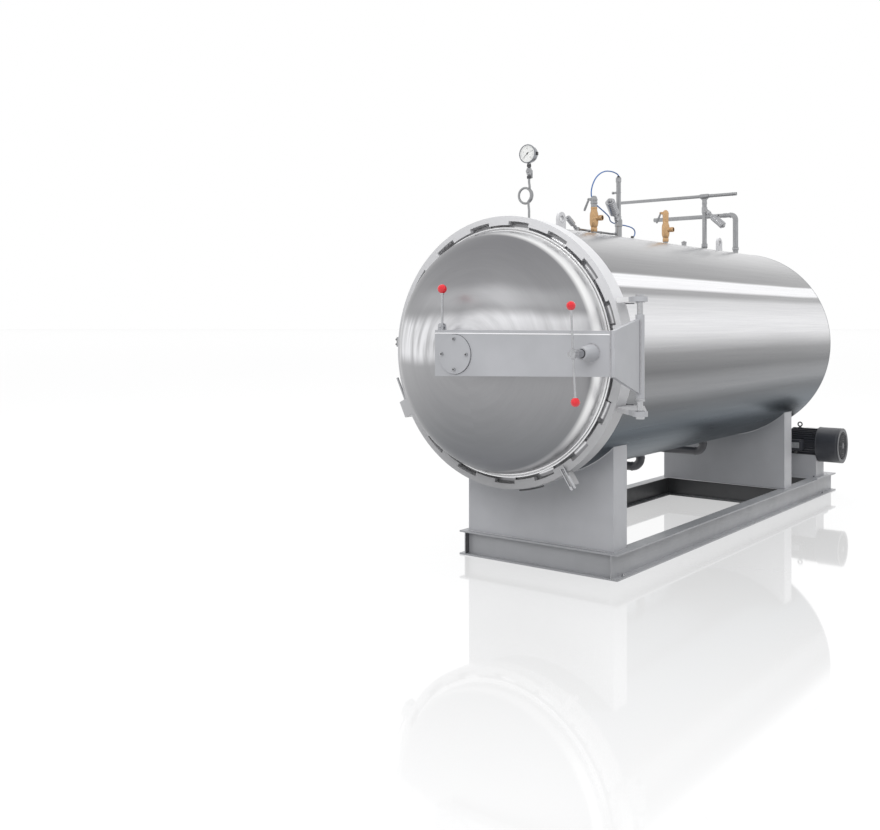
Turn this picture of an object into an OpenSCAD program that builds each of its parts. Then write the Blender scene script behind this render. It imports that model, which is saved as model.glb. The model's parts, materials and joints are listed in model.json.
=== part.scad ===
// Horizontal retort sterilizer: a quick-opening pressure vessel on a frame of I-beams.
// X runs across the vessel, Y along it from the door to the rear, and Z up from the floor.
// The origin is on the floor, under the web of the front cross beam, in the vessel's mid plane.

/* [Base frame] */
// Width of the frame over the flanges
base_w = 1034; // [1000:1:1100]
// Length of the frame
base_l = 3690; // [3600:10:3900]
// Height of the I-beams
beam_h = 140; // [120:1:160]
// Width of a beam's flange
beam_b = 80; // [70:1:100]
// Thickness of a beam's web
web_t = 6; // [5:1:10]
// Thickness of a beam's flange
beam_flange_t = 9; // [7:1:12]

/* [Saddles] */
// Distance of a saddle's side from the outer edge of the frame
saddle_in = 42; // [20:1:80]
// Depth of a saddle along the vessel
saddle_d = 150; // [120:5:180]
// Plate thickness of a saddle
saddle_t = 10; // [6:1:14]
// Front face of the front saddle
front_saddle_y = -5; // [-30:5:200]
// Distance of the rear saddle's front face before the shell's rear end
rear_saddle_in = 310; // [290:10:400]
// Distance of the middle cross beam's web behind the rear saddle's front face
mid_beam_in = 60; // [40:1:110]

/* [Vessel] */
// Height of the vessel's axis above the floor
axis_z = 1200; // [1150:5:1300]
// Inside diameter of the chamber
chamber_d = 1200; // [1100:5:1250]
// Wall thickness of the pressure shell
shell_t = 8; // [6:1:12]
// Distance of the shell's front end behind the locking ring
shell_gap = 47; // [46:1:60]
// Length of the frame behind the shell's rear end
frame_over = 760; // [740:10:800]
// Thickness of the insulation with its cladding
insulation_t = 82; // [60:1:84]
// Thickness of the cladding sheet
jacket_t = 3; // [2:0.5:5]
// Rise of the domed rear cover over the cladding's rear rim
cap_rise = 300; // [290:1:340]
// Length of the cladding past the shell's rear end
jacket_over = 58; // [50:1:80]

/* [Locking ring] */
// Wall of the ring round its bore
ring_wall = 28; // [24:1:40]
// Height of the ring's teeth
tooth_h = 20; // [18:1:22]
// Gap between the ring's teeth and the door's
lock_gap = 6.5; // [5:0.5:10]
// Gap between the body flange and the ring's rear lip
ring_gap = 5; // [5:1:8]
// Thickness of the ring's teeth
tooth_t = 30; // [24:1:32]
// Thickness of the ring's rear lip
rear_lip_t = 20; // [14:1:22]
// Number of teeth
tooth_n = 17; // [12:1:20]
// Angle of the first slot, clockwise from the top seen from the door
first_slot_a = 9; // [0:1:20]

/* [Body flange] */
// Thickness of the body flange
body_flange_t = 25; // [20:1:26]
// Front face of the body flange
body_flange_y = -302; // [-310:1:-290]
// Radial width of the body flange
flange_w = 93.5; // [92:0.5:96]
// Radial thickness of the neck behind the flange
neck_t = 50; // [40:1:52]
// Width of the gasket
gasket_w = 24; // [16:1:26]
// Depth of the gasket's groove
gasket_depth = 8; // [5:1:12]
// Distance of the gasket's middle outside the chamber wall
gasket_in = 35; // [33:1:37]

/* [Door] */
// Gap between the door's rim and the ring's teeth
rim_gap = 13; // [12:1:15]
// Radial thickness of the door's rim
rim_t = 41; // [36:1:44]
// Length of the rim
rim_l = 60; // [54:1:66]
// Gap between the door's teeth and the ring's bore
door_tooth_gap = 11; // [10:1:14]
// Thickness of the door's teeth
door_tooth_t = 17; // [12:1:18]
// Width of a door tooth along the rim
door_tooth_w = 92; // [60:1:94]
// Step from the rim's outside in to the dished door head
dish_in = 21; // [18:1:26]
// Wall thickness of the door head
dish_t = 8; // [6:1:10]
// Height of the straight flange of the door head
dish_straight = 10; // [6:1:14]

/* [Door arm] */
// Length of the bearing boss between the arm and the door
bearing_l = 15; // [10:1:40]
// Depth of the arm's box section
arm_d = 80; // [60:1:90]
// Height of the arm's box section
arm_h = 233; // [200:1:240]
// Height of the arm at its hinged end
arm_hinge_h = 205; // [180:1:215]
// Height of the arm's middle above the vessel's axis, at its free end
arm_rise = 4; // [0:1:10]
// Wall of the arm's box section
arm_t = 8; // [6:1:12]
// Length of the arm past the door's centre
arm_over = 128; // [110:1:150]
// Radius of the bearing cap on the arm
cap_r = 98; // [80:1:100]
// Thickness of the bearing cap
cap_t = 8; // [5:1:12]
// Radius of the door's pivot shaft
pivot_r = 35; // [25:1:45]
// Radius of the bearing boss between the arm and the door
bearing_r = 90; // [70:1:100]

/* [Hinge] */
// Distance of the hinge axis outside the locking ring
hinge_out = 158; // [150:1:180]
// Distance of the hinge axis before the locking ring's face
hinge_ahead = 142; // [135:1:150]
// Radius of the hinge pin
pin_r = 14; // [12:1:18]
// Radius of the hinge barrel
barrel_r = 21; // [20:1:30]
// Height of the hinge barrel
barrel_h = 390; // [360:2:420]
// Thickness of the leaf between the arm and the barrel
leaf_t = 20; // [16:1:24]
// Height of the leaf at the barrel
leaf_h = 358; // [320:2:358]
// Thickness of a hinge lug
lug_t = 24; // [18:1:30]
// Height of a hinge lug's middle above or below the axis
lug_z = 267; // [255:1:280]
// Radius of a hinge lug round the pin
lug_r = 36; // [30:1:40]
// Running clearance of a pin in its bore
run_gap = 0.08; // [0.04:0.01:0.1]

/* [Clamp screw] */
// Distance of the screw from the hinge axis
screw_in = 107; // [90:1:120]
// Height of the screw above the vessel's axis
screw_rise = 20; // [0:1:40]
// Radius of the screw
screw_r = 12; // [10:1:14]
// Length of the tapered boss on the arm
boss_len = 90; // [70:1:110]
// Radius of the boss at the arm
boss_r = 42; // [36:1:48]
// Radius of the boss at its tip
boss_tip_r = 28; // [24:1:32]
// Distance from the arm's face to the middle of the hub
hub_out = 160; // [150:1:190]
// Radius of the hub
hub_r = 19; // [18:1:24]
// Length of the hub
hub_l = 32; // [28:1:50]
// Distance of a ball's centre from the hub
tee_reach = 212; // [180:1:230]
// Radius of the cross bar
tee_r = 5; // [4:1:8]
// Radius of the cross bar's ball knobs
tee_ball_r = 21; // [16:1:24]
// Tilt of the cross bar from upright
tee_tilt = 3; // [0:1:10]

/* [Latch lever] */
// Place of the latch lever along the arm
lever_x = -113; // [-113:1:-80]
// Height of the lever's ball above the arm
lever_reach = 208; // [180:1:240]
// Radius of the lever's rod
lever_r = 6; // [4:1:8]
// Radius of the lever's ball knob
lever_ball_r = 24; // [18:1:26]

/* [Ring fittings] */
// Angle of the handle block, clockwise from the top
block_a = 244; // [240:1:250]
// Angle of the stop in tooth pitches after the first slot
stop_pitch_share = 6.5; // [6.5:1:7.5]
// Length of the ring's handle
handle_l = 190; // [150:1:220]
// Radius of the ring's handle
handle_r = 7; // [5:1:9]

/* [Pipes] */
// Place of the pressure gauge along the vessel
gauge_y = -90; // [-100:1:-60]
// Height of the gauge's middle above the cladding
gauge_up = 395; // [380:1:430]
// Radius of the gauge's dial
gauge_r = 52; // [45:1:60]
// Place of the front safety valve
front_relief_y = 629; // [600:1:660]
// Place of the rear safety valve between the vent pipe and the steam riser
rear_relief_share = 0.51; // [0.45:0.01:0.56]
// Place of the plugged nozzle between the rear safety valve and the steam riser
nozzle_share = 0.455; // [0.4:0.005:0.6]
// Place of the vent pipe
vent_y = 940; // [920:1:960]
// Height of the vent pipe's top above the cladding
vent_up = 381; // [350:1:410]
// Distance of the steam riser before the shell's rear end
steam_in = 632; // [600:1:660]
// Height of the steam header above the cladding
steam_up = 393; // [360:1:410]
// Distance of the spray riser before the shell's rear end
spray_in = 45; // [30:1:70]
// Height of the spray header above the cladding
spray_up = 306; // [270:1:310]
// Right-hand end of the steam header
steam_end_x = 243; // [200:1:300]
// Left-hand end of both headers
header_end_x = -690; // [-700:1:-600]
// Place of the front drain pipe
front_drain_y = 1240; // [1200:1:1300]
// Distance of the rear drain pipe before the shell's rear end
rear_drain_in = 658; // [620:1:700]
// Left-hand end of the drain pipes
drain_end_x = -440; // [-460:1:-300]
// Drop of the drain pipes' level runs below the cladding
drain_drop = 98; // [95:1:120]
// Outside radius of the drain pipes
drain_r = 28; // [24:1:32]

/* [Lifting lugs] */
// Place of the front lifting lug
front_eye_y = 246; // [220:1:280]
// Distance of the rear lifting lug before the shell's rear end
rear_eye_in = 366; // [330:1:400]
// Width of a lifting lug
eye_w = 84; // [80:1:90]
// Height of a lifting lug above the cladding
eye_h = 106; // [90:1:115]
// Thickness of a lifting lug
eye_t = 16; // [12:1:20]
// Radius of the hole in a lifting lug
eye_r = 20; // [14:1:24]

/* [Pump] */
// Distance of the pump's axis before the frame's rear end
pump_in = 327; // [300:1:340]
// Height of the pump's axis above the floor
pump_z = 400; // [395:1:410]
// Left-hand end of the motor
motor_x0 = 276; // [270:1:290]
// Start of the motor's fan cover
fan_x0 = 496; // [480:1:510]
// Right-hand end of the fan cover
fan_x1 = 669; // [650:1:680]
// Radius of the motor's body
motor_r = 122; // [110:1:126]
// Radius of the fan cover
fan_r = 135; // [128:1:138]
// Radius of the pump casing
pump_r = 140; // [120:1:146]

/* [Hidden] */
$fn = 96;
over = 2;
seat_gap = 0.3;
door_gap = 0.5;
base_y0 = -beam_b / 2;
base_y1 = base_y0 + base_l;
saddle_w = base_w - 2 * saddle_in;
shell_y1 = base_y1 - frame_over;
rear_saddle_y = shell_y1 - rear_saddle_in;
mid_beam_y = rear_saddle_y + mid_beam_in;
rear_eye_y = shell_y1 - rear_eye_in;
rear_drain_y = shell_y1 - rear_drain_in;
steam_y = shell_y1 - steam_in;
spray_y = shell_y1 - spray_in;
rear_relief_y = vent_y + rear_relief_share * (steam_y - vent_y);
nozzle_y = rear_relief_y + nozzle_share * (steam_y - rear_relief_y);
chamber_r = chamber_d / 2;
shell_r = chamber_r + shell_t;
jacket_r = shell_r + insulation_t;
jacket_top = axis_z + jacket_r;
seat_r = jacket_r + seat_gap / 2;
flange_r = chamber_r + flange_w;
flange_rear_y = body_flange_y + body_flange_t;
neck_r = chamber_r + neck_t;
gasket_r = chamber_r + gasket_in;
ring_bore_r = flange_r + door_gap;
ring_lip_r = ring_bore_r - tooth_h;
ring_r = ring_bore_r + ring_wall;
rim_r = ring_lip_r - rim_gap;
rim_bore_r = rim_r - rim_t;
rim_rear_y = body_flange_y - door_gap;
rim_front_y = rim_rear_y - rim_l;
door_tooth_r = ring_bore_r - door_tooth_gap;
ring_face_y = rim_rear_y - door_tooth_t - lock_gap - tooth_t;
ring_rear_y = flange_rear_y + ring_gap + rear_lip_t;
ring_l = ring_rear_y - ring_face_y;
pitch_a = 360 / tooth_n;
slot_a = pitch_a / 2;
shell_y0 = ring_rear_y + shell_gap;
jacket_y0 = shell_y0 + jacket_t;
jacket_y1 = shell_y1 + jacket_over;
dish_r = rim_r - dish_in;
crown_share = 1.8;
knuckle_share = 0.28;
dish_top = crown_share * dish_r - dish_drop(dish_r);
dish_apex_y = rim_front_y - dish_straight - dish_top;
arm_rear_y = dish_apex_y - bearing_l;
arm_face_y = arm_rear_y - arm_d;
hinge_x = ring_r + hinge_out;
hinge_y = ring_face_y - hinge_ahead;
screw_x = hinge_x - screw_in;
screw_z = axis_z + screw_rise;
arm_end_x = hinge_x + leaf_t / 2 - leaf_t;
arm_top = axis_z + arm_rise + arm_h / 2;
arm_low = arm_top - arm_h;
arm_hinge_low = arm_top - arm_hinge_h;
bed_t = 12;

// Depth of the crown's centre below the rim of a dished head of outside radius r
function dish_drop(r) =
    sqrt(pow((crown_share - knuckle_share) * r, 2) - pow((1 - knuckle_share) * r, 2));

// Helpers for the three directions
module along_x() rotate([0, 90, 0]) children();
module along_y() rotate([-90, 0, 0]) children();
module rod_x(x0, x1, r) translate([x0, 0, 0]) along_x() cylinder(h = x1 - x0, r = r);
module rod_y(y0, y1, r) translate([0, y0, 0]) along_y() cylinder(h = y1 - y0, r = r);
module rod_z(z0, z1, r) translate([0, 0, z0]) cylinder(h = z1 - z0, r = r);
module band(r0, r1, y0, y1) translate([r0, y0]) square([r1 - r0, y1 - y0]);
module turned() translate([0, 0, axis_z]) along_y() rotate_extrude($fn = 180) children();
module upright_plate(y_rear, t)
    translate([0, y_rear, axis_z]) rotate([90, 0, 0]) linear_extrude(height = t) children();
// A round cut along the vessel's axis that seats a piece on the cladding
module off_jacket() {
    difference() {
        children();
        translate([0, jacket_y0, axis_z]) rod_y(0, jacket_y1 - jacket_y0, seat_r);
    }
}

// A sector of a ring, in the upright plane, centred at angle a clockwise from the top
module wedge(a, width_a, far)
    polygon([[0, 0], far * [sin(a - width_a / 2), cos(a - width_a / 2)],
        far * [sin(a + width_a / 2), cos(a + width_a / 2)]]);
module ring_sectors(r0, r1, width_a, shift) {
    intersection() {
        difference() {
            circle(r = r1, $fn = 180);
            circle(r = r0, $fn = 180);
        }
        union() for (k = [0 : tooth_n - 1]) wedge(first_slot_a + (k + shift) * pitch_a, width_a, 2 * r1);
    }
}

// The area under a dished head: a spherical crown and a rounded knuckle
module dish_area(r, off) {
    crown = crown_share * r;
    knuckle = knuckle_share * r;
    inset = r - knuckle;
    drop = dish_drop(r);
    reach = 2;
    intersection() {
        square([r - off, crown]);
        union() {
            translate([inset, 0]) circle(r = knuckle - off);
            intersection() {
                translate([0, -drop]) circle(r = crown - off, $fn = 180);
                polygon([[0, -drop], [inset * reach, drop * (reach - 1)], [0, drop * (reach - 1)]]);
            }
        }
    }
}
module dish_wall(r, t, straight) {
    difference() {
        dish_area(r, 0);
        dish_area(r, t);
    }
    translate([r - t, -straight]) square([t, straight]);
}

// Base frame
module i_profile() {
    translate([-web_t / 2, 0]) square([web_t, beam_h]);
    translate([-beam_b / 2, 0]) square([beam_b, beam_flange_t]);
    translate([-beam_b / 2, beam_h - beam_flange_t]) square([beam_b, beam_flange_t]);
}
side_beam_x = base_w / 2 - beam_b / 2;
module side_beams() color([0.72, 0.73, 0.75])
    for (side = [-1, 1])
        translate([side * side_beam_x, base_y1, 0]) rotate([90, 0, 0]) linear_extrude(height = base_l) i_profile();
module cross_beams() color([0.72, 0.73, 0.75])
    for (y = [0, mid_beam_y, base_y1 - beam_b / 2]) cross_beam(y);
module cross_beam(y) {
    difference() {
        translate([-side_beam_x + web_t / 2, y, 0]) rotate([90, 0, 90])
            linear_extrude(height = 2 * side_beam_x - web_t) i_profile();
        for (side = [-1, 1]) for (z = [-over, beam_h - beam_flange_t - seat_gap])
            translate([side * side_beam_x - beam_b / 2, y - beam_b / 2 - over, z])
                cube([beam_b, beam_b + 2 * over, beam_flange_t + over + seat_gap]);
    }
}

// Saddles: boxes of plate, cut round to carry the cladding
module saddles() color([0.66, 0.67, 0.69]) for (y = [front_saddle_y, rear_saddle_y]) saddle(y);
module saddle(y) {
    saddle_top = axis_z - sqrt(pow(jacket_r, 2) - pow(saddle_w / 2, 2));
    translate([0, y, beam_h]) difference() {
        translate([-saddle_w / 2, 0, 0]) cube([saddle_w, saddle_d, saddle_top - beam_h]);
        translate([-saddle_w / 2 + saddle_t, saddle_t, -over])
            cube([saddle_w - 2 * saddle_t, saddle_d - 2 * saddle_t, saddle_top]);
        translate([0, -over, axis_z - beam_h]) rod_y(0, saddle_d + 2 * over, seat_r);
    }
}

// Pressure vessel
module vessel_shell() color([0.75, 0.76, 0.78]) turned() band(chamber_r, shell_r, shell_y0, shell_y1);
module rear_head() color([0.75, 0.76, 0.78])
    translate([0, shell_y1 + dish_straight, axis_z]) along_y()
        rotate_extrude($fn = 180) dish_wall(shell_r, shell_t, dish_straight);
module body_flange() color([0.78, 0.79, 0.81]) {
    groove = gasket_w / 2 + seat_gap / 2;
    turned() difference() {
        union() {
            band(chamber_r, flange_r, body_flange_y, flange_rear_y);
            band(chamber_r, neck_r, flange_rear_y - over, shell_y0);
        }
        band(gasket_r - groove, gasket_r + groove, body_flange_y - over, body_flange_y + gasket_depth);
    }
}
module door_gasket() color([0.12, 0.12, 0.12])
    turned() band(gasket_r - gasket_w / 2, gasket_r + gasket_w / 2,
        body_flange_y - door_gap / 2, body_flange_y + gasket_depth);
module insulation_jacket() color([0.8, 0.81, 0.83])
    turned() {
        band(jacket_r - jacket_t, jacket_r, jacket_y0, jacket_y1);
        band(shell_r + seat_gap / 2, jacket_r, jacket_y0, jacket_y0 + jacket_t);
        band(shell_r + seat_gap / 2, jacket_r, shell_y1 - jacket_t, shell_y1);
    }
module rear_jacket_cap() color([0.8, 0.81, 0.83]) {
    ball_r = (pow(jacket_r, 2) + pow(cap_rise, 2)) / (2 * cap_rise);
    translate([0, jacket_y1 + cap_rise - ball_r, axis_z]) along_y() rotate_extrude($fn = 240) difference() {
        circle(r = ball_r);
        circle(r = ball_r - jacket_t);
        translate([-2 * ball_r, -2 * ball_r]) square([2 * ball_r, 4 * ball_r]);
        translate([-2 * ball_r, -2 * ball_r]) square([4 * ball_r, 3 * ball_r - cap_rise]);
    }
}

// Hinge lugs, welded to the neck and reaching round the locking ring
lug_inner_x = sqrt(pow(ring_r, 2) - pow(lug_z - lug_t / 2, 2)) + 4 * over;
lug_outer_x = lug_inner_x + 2 * lug_r;
lug_root_y = ring_rear_y + 2 * over;
module lug_outline() {
    difference() {
        union() {
            translate([hinge_x, hinge_y]) circle(r = lug_r);
            polygon([[neck_r / 2, lug_root_y], [neck_r / 2, jacket_y0 - over], [lug_outer_x, jacket_y0 - over],
                [hinge_x + lug_r, hinge_y], [hinge_x, hinge_y - lug_r], [lug_inner_x, ring_face_y],
                [lug_inner_x, lug_root_y]]);
        }
        translate([hinge_x, hinge_y]) circle(r = pin_r + run_gap / 2);
    }
}
module hinge_lugs() color([0.74, 0.75, 0.77]) {
    difference() {
        for (side = [-1, 1])
            translate([0, 0, axis_z + side * lug_z - lug_t / 2]) linear_extrude(height = lug_t) lug_outline();
        translate([0, ring_rear_y, axis_z]) rod_y(0, ring_l, neck_r + seat_gap / 2);
    }
}
module hinge_pin() color([0.7, 0.71, 0.72]) {
    pin_top = lug_z + lug_t;
    collar_top = barrel_h / 2 + door_gap;
    translate([hinge_x, hinge_y, axis_z]) {
        rod_z(-pin_top, pin_top, pin_r);
        rod_z(-collar_top - pin_r, -collar_top, barrel_r);
        rod_z(lug_z + lug_t / 2 + seat_gap, pin_top, barrel_r);
        rod_z(-pin_top, -lug_z - lug_t / 2 - seat_gap, barrel_r);
    }
}

// Locking ring with its teeth, its handle and its stop
module locking_ring() color([0.76, 0.77, 0.79]) {
    turned() {
        band(ring_bore_r, ring_r, ring_face_y, ring_rear_y);
        band(neck_r + 2 * over, ring_bore_r + over, ring_rear_y - rear_lip_t, ring_rear_y);
    }
    upright_plate(ring_face_y + tooth_t, tooth_t)
        ring_sectors(ring_lip_r, ring_bore_r + over, pitch_a - slot_a, 0.5);
}
block_w = 84;
block_h = 96;
block_l = 64;
module at_ring(a) translate([0, 0, axis_z]) rotate([0, a, 0]) children();
module ring_handle_block() color([0.76, 0.77, 0.79])
    at_ring(block_a) difference() {
        translate([-block_h / 2, ring_face_y + ring_l / 2 - block_l / 2, ring_r - block_w / 4])
            cube([block_h, block_l, block_w]);
        translate([0, ring_face_y, 0]) rod_y(-over, ring_l + 2 * over, ring_r + seat_gap / 2);
        translate([0, ring_face_y + ring_l / 2, ring_r + block_w / 2]) rod_x(-block_h, block_h, handle_r + run_gap / 2);
    }
module ring_handle() color([0.9, 0.9, 0.92])
    at_ring(block_a) translate([0, ring_face_y + ring_l / 2, ring_r + block_w / 2])
        rod_x(-block_h / 2, handle_l, handle_r);
module ring_stop() color([0.7, 0.71, 0.73])
    at_ring(first_slot_a + stop_pitch_share * pitch_a) {
        stop_w = 16;
        stop_t = 10;
        stop_out = 70;
        difference() {
            translate([-stop_w / 2, ring_face_y - stop_t, ring_lip_r + 4 * over])
                cube([stop_w, stop_t + ring_l / 2, ring_r + stop_out - ring_lip_r - 4 * over]);
            translate([0, ring_face_y, 0]) rod_y(0, ring_l, ring_r + seat_gap / 2);
        }
    }

// Door
door_tooth_a = door_tooth_w / rim_r * 180 / PI;
module door_rim() color([0.82, 0.83, 0.85]) {
    turned() band(rim_bore_r, rim_r, rim_front_y, rim_rear_y);
    upright_plate(rim_rear_y, door_tooth_t)
        ring_sectors(rim_r - over, door_tooth_r, door_tooth_a, 0);
}
module door_dish() color([0.62, 0.63, 0.65])
    translate([0, rim_front_y - dish_straight, axis_z]) rotate([90, 0, 0])
        rotate_extrude($fn = 180) dish_wall(dish_r, dish_t, dish_straight);
module door_pivot() color([0.25, 0.25, 0.27])
    difference() {
        translate([0, 0, axis_z]) {
            rod_y(arm_face_y, dish_apex_y + dish_t, pivot_r);
            rod_y(arm_rear_y, dish_apex_y + dish_t, bearing_r);
        }
        translate([0, dish_apex_y + crown_share * dish_r, axis_z])
            sphere(r = crown_share * dish_r + seat_gap / 2, $fn = 180);
    }
module bearing_cap() color([0.76, 0.77, 0.79])
    translate([0, 0, axis_z]) rod_y(arm_face_y - cap_t, arm_face_y, cap_r);

// Door arm: a box section with the screw boss and the latch lever's bracket
ear_t = 8;
ear_w = 30;
ear_h = 34;
lever_hub_w = 16;
lever_y = arm_face_y + arm_d / 2;
lever_pin_z = arm_top + ear_h - ear_w / 2;
module arm_side(inset)
    polygon([[-arm_over + inset, arm_low + inset], [arm_end_x - inset, arm_hinge_low + inset],
        [arm_end_x - inset, arm_top - inset], [-arm_over + inset, arm_top - inset]]);
module door_arm() color([0.76, 0.77, 0.79]) {
    difference() {
        union() {
            difference() {
                translate([0, arm_rear_y, 0]) rotate([90, 0, 0]) linear_extrude(height = arm_d) arm_side(0);
                translate([0, arm_rear_y - arm_t, 0]) rotate([90, 0, 0])
                    linear_extrude(height = arm_d - 2 * arm_t) arm_side(arm_t);
            }
            translate([screw_x, arm_face_y + over, screw_z]) rotate([90, 0, 0])
                cylinder(h = boss_len + over, r1 = boss_r, r2 = boss_tip_r);
            translate([screw_x, 0, screw_z]) rod_y(arm_face_y, arm_rear_y, boss_tip_r);
            for (side = [-1, 1]) translate([lever_x, lever_y + side * (lever_hub_w / 2 + ear_t), 0])
                translate([0, -side * (ear_t - door_gap) - ear_t / 2 + side * ear_t / 2, 0]) {
                    translate([-ear_w / 2, 0, arm_top - over]) cube([ear_w, ear_t, lever_pin_z - arm_top + over]);
                    translate([0, 0, lever_pin_z]) rod_y(0, ear_t, ear_w / 2);
                }
        }
        translate([screw_x, 0, screw_z]) rod_y(arm_face_y - boss_len - over, arm_rear_y + over, screw_r + run_gap);
        translate([0, 0, axis_z]) rod_y(arm_face_y - over, arm_rear_y + over, pivot_r + run_gap / 2);
        translate([lever_x, lever_y - ear_w, lever_pin_z]) rod_y(0, 2 * ear_w, lever_r + run_gap);
    }
}
module hinge_leaf() color([0.76, 0.77, 0.79])
    difference() {
        union() {
            translate([arm_end_x, 0, axis_z]) rotate([90, 0, 90]) linear_extrude(height = leaf_t)
                polygon([[arm_face_y, arm_hinge_low - axis_z], [hinge_y, -leaf_h / 2], [hinge_y, leaf_h / 2],
                    [arm_face_y, arm_top - axis_z]]);
            translate([hinge_x, hinge_y, axis_z]) rod_z(-barrel_h / 2, barrel_h / 2, barrel_r);
        }
        translate([hinge_x, hinge_y, axis_z]) rod_z(-barrel_h, barrel_h, pin_r + run_gap);
    }

// Clamp screw with its cross bar and ball knobs
hub_y = arm_face_y - hub_out;
module at_hub() translate([screw_x, hub_y, screw_z]) rotate([0, -tee_tilt, 0]) children();
module clamp_screw() color([0.8, 0.8, 0.82]) {
    screw_tail = 30;
    translate([screw_x, 0, screw_z]) {
        rod_y(hub_y, arm_rear_y + screw_tail, screw_r);
        rod_y(hub_y, arm_face_y - boss_len - run_gap, hub_r + run_gap);
        rod_y(hub_y - hub_l / 2, hub_y + hub_l / 2, hub_r);
    }
    at_hub() rod_z(-tee_reach, tee_reach, tee_r);
}
module clamp_knobs() color([0.8, 0.08, 0.12])
    at_hub() difference() {
        for (side = [-1, 1]) translate([0, 0, side * tee_reach]) sphere(r = tee_ball_r);
        rod_z(-tee_reach, tee_reach, tee_r + run_gap / 2);
    }

// Latch lever on the arm
module latch_lever() color([0.8, 0.8, 0.82])
    translate([lever_x, lever_y, lever_pin_z]) {
        pin_l = lever_hub_w / 2 + ear_t;
        rod_y(-pin_l, pin_l, lever_r);
        rod_y(-lever_hub_w / 2, lever_hub_w / 2, ear_w / 2 - over);
        rod_z(0, arm_top + lever_reach - lever_pin_z, lever_r);
    }
module latch_knob() color([0.8, 0.08, 0.12])
    translate([lever_x, lever_y, 0]) difference() {
        translate([0, 0, arm_top + lever_reach]) sphere(r = lever_ball_r);
        rod_z(arm_top, arm_top + lever_reach, lever_r + run_gap / 2);
    }

// Lifting lugs
module lifting_lugs() color([0.76, 0.77, 0.79])
    for (y = [front_eye_y, rear_eye_y]) off_jacket() translate([-eye_t / 2, y, jacket_top]) difference() {
        union() {
            translate([0, -eye_w / 2, -eye_t]) cube([eye_t, eye_w, eye_h + eye_t - eye_w / 2]);
            translate([0, 0, eye_h - eye_w / 2]) rod_x(0, eye_t, eye_w / 2);
        }
        translate([-over, 0, eye_h - eye_w / 2]) rod_x(0, eye_t + 2 * over, eye_r);
    }

// Pressure gauge on its siphon
siphon_r = 7;
loop_r = 42;
loop_up = 168;
loop_z = jacket_top + loop_up;
loop_side = 25;
cock_up = 300;
cock_z = jacket_top + cock_up;
gauge_z = jacket_top + gauge_up;
cock_r = 13;
gauge_l = 46;
module gauge_siphon() color([0.78, 0.79, 0.8]) {
    loop_end = sqrt(pow(loop_r, 2) - pow(loop_side, 2));
    foot_h = 26;
    cock_h = 40;
    translate([0, gauge_y, 0]) {
        off_jacket_at(gauge_y) rod_z(jacket_top - over, jacket_top + foot_h, 2 * siphon_r);
        rod_z(jacket_top + foot_h - over, loop_z - loop_end + over, siphon_r);
        translate([-loop_side, 0, loop_z]) along_y() rotate_extrude() translate([loop_r, 0]) circle(r = siphon_r);
        rod_z(loop_z + loop_end - over, gauge_z - gauge_r - seat_gap, siphon_r);
        rod_z(cock_z - cock_h / 2, cock_z + cock_h / 2, cock_r);
        translate([0, 0, cock_z]) rod_y(-cock_h / 2, cock_h, siphon_r);
    }
}
// The same round cut for a piece drawn about a place y along the vessel
module off_jacket_at(y) {
    difference() {
        children();
        translate([0, jacket_y0 - y, axis_z]) rod_y(0, jacket_y1 - jacket_y0, seat_r);
    }
}
module pressure_gauge() color([0.8, 0.8, 0.82]) {
    bezel_w = 5;
    bezel_l = 12;
    glass_in = 3;
    stem_h = 24;
    translate([0, gauge_y, gauge_z]) difference() {
        union() {
            rod_y(-gauge_l / 2, gauge_l / 2, gauge_r - bezel_w);
            rod_y(-gauge_l / 2, -gauge_l / 2 + bezel_l, gauge_r);
            rod_z(-gauge_r, -gauge_r + stem_h, cock_r);
        }
        rod_y(-gauge_l / 2 - over, -gauge_l / 2 + glass_in, gauge_r - bezel_w);
    }
}

// Spring safety valves, with a test lever each
relief_foot_r = 22;
relief_r = 26;
relief_neck_h = 46;
relief_body_h = 150;
relief_cap_h = 40;
outlet_x = 58;
outlet_r = 17;
outlet_z = 100;
relief_pivot_h = relief_neck_h + relief_body_h + relief_cap_h / 2;
relief_pivot_x = -33;
relief_ear_t = 5;
relief_ear_r = 8;
relief_ear_gap = 12;
relief_pin_r = 3.5;
relief_lever_l = 76;
relief_lever_a = 115;
module relief_valve(y) color([0.78, 0.6, 0.33])
    translate([0, y, 0]) {
        off_jacket_at(y) rod_z(jacket_top - over, jacket_top + relief_neck_h, relief_foot_r);
        translate([0, 0, jacket_top + relief_neck_h]) difference() {
            union() {
                rod_z(-over, relief_body_h, relief_r);
                rod_z(relief_body_h - over, relief_body_h + relief_cap_h, relief_foot_r);
                translate([0, 0, outlet_z - relief_neck_h]) rod_x(0, outlet_x, outlet_r);
            }
            translate([relief_r + over, 0, outlet_z - relief_neck_h]) rod_x(0, outlet_x, outlet_r - over * 2);
        }
        for (ear_y = [-relief_ear_gap / 2 - relief_ear_t, relief_ear_gap / 2])
            translate([0, ear_y, jacket_top + relief_pivot_h]) difference() {
                union() {
                    translate([relief_pivot_x, 0, -relief_ear_r])
                        cube([-relief_pivot_x - relief_foot_r / 2, relief_ear_t, 2 * relief_ear_r]);
                    translate([relief_pivot_x, 0, 0]) rod_y(0, relief_ear_t, relief_ear_r);
                }
                translate([relief_pivot_x, 0, 0]) rod_y(-over, relief_ear_t + over, relief_pin_r + run_gap);
            }
    }
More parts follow.
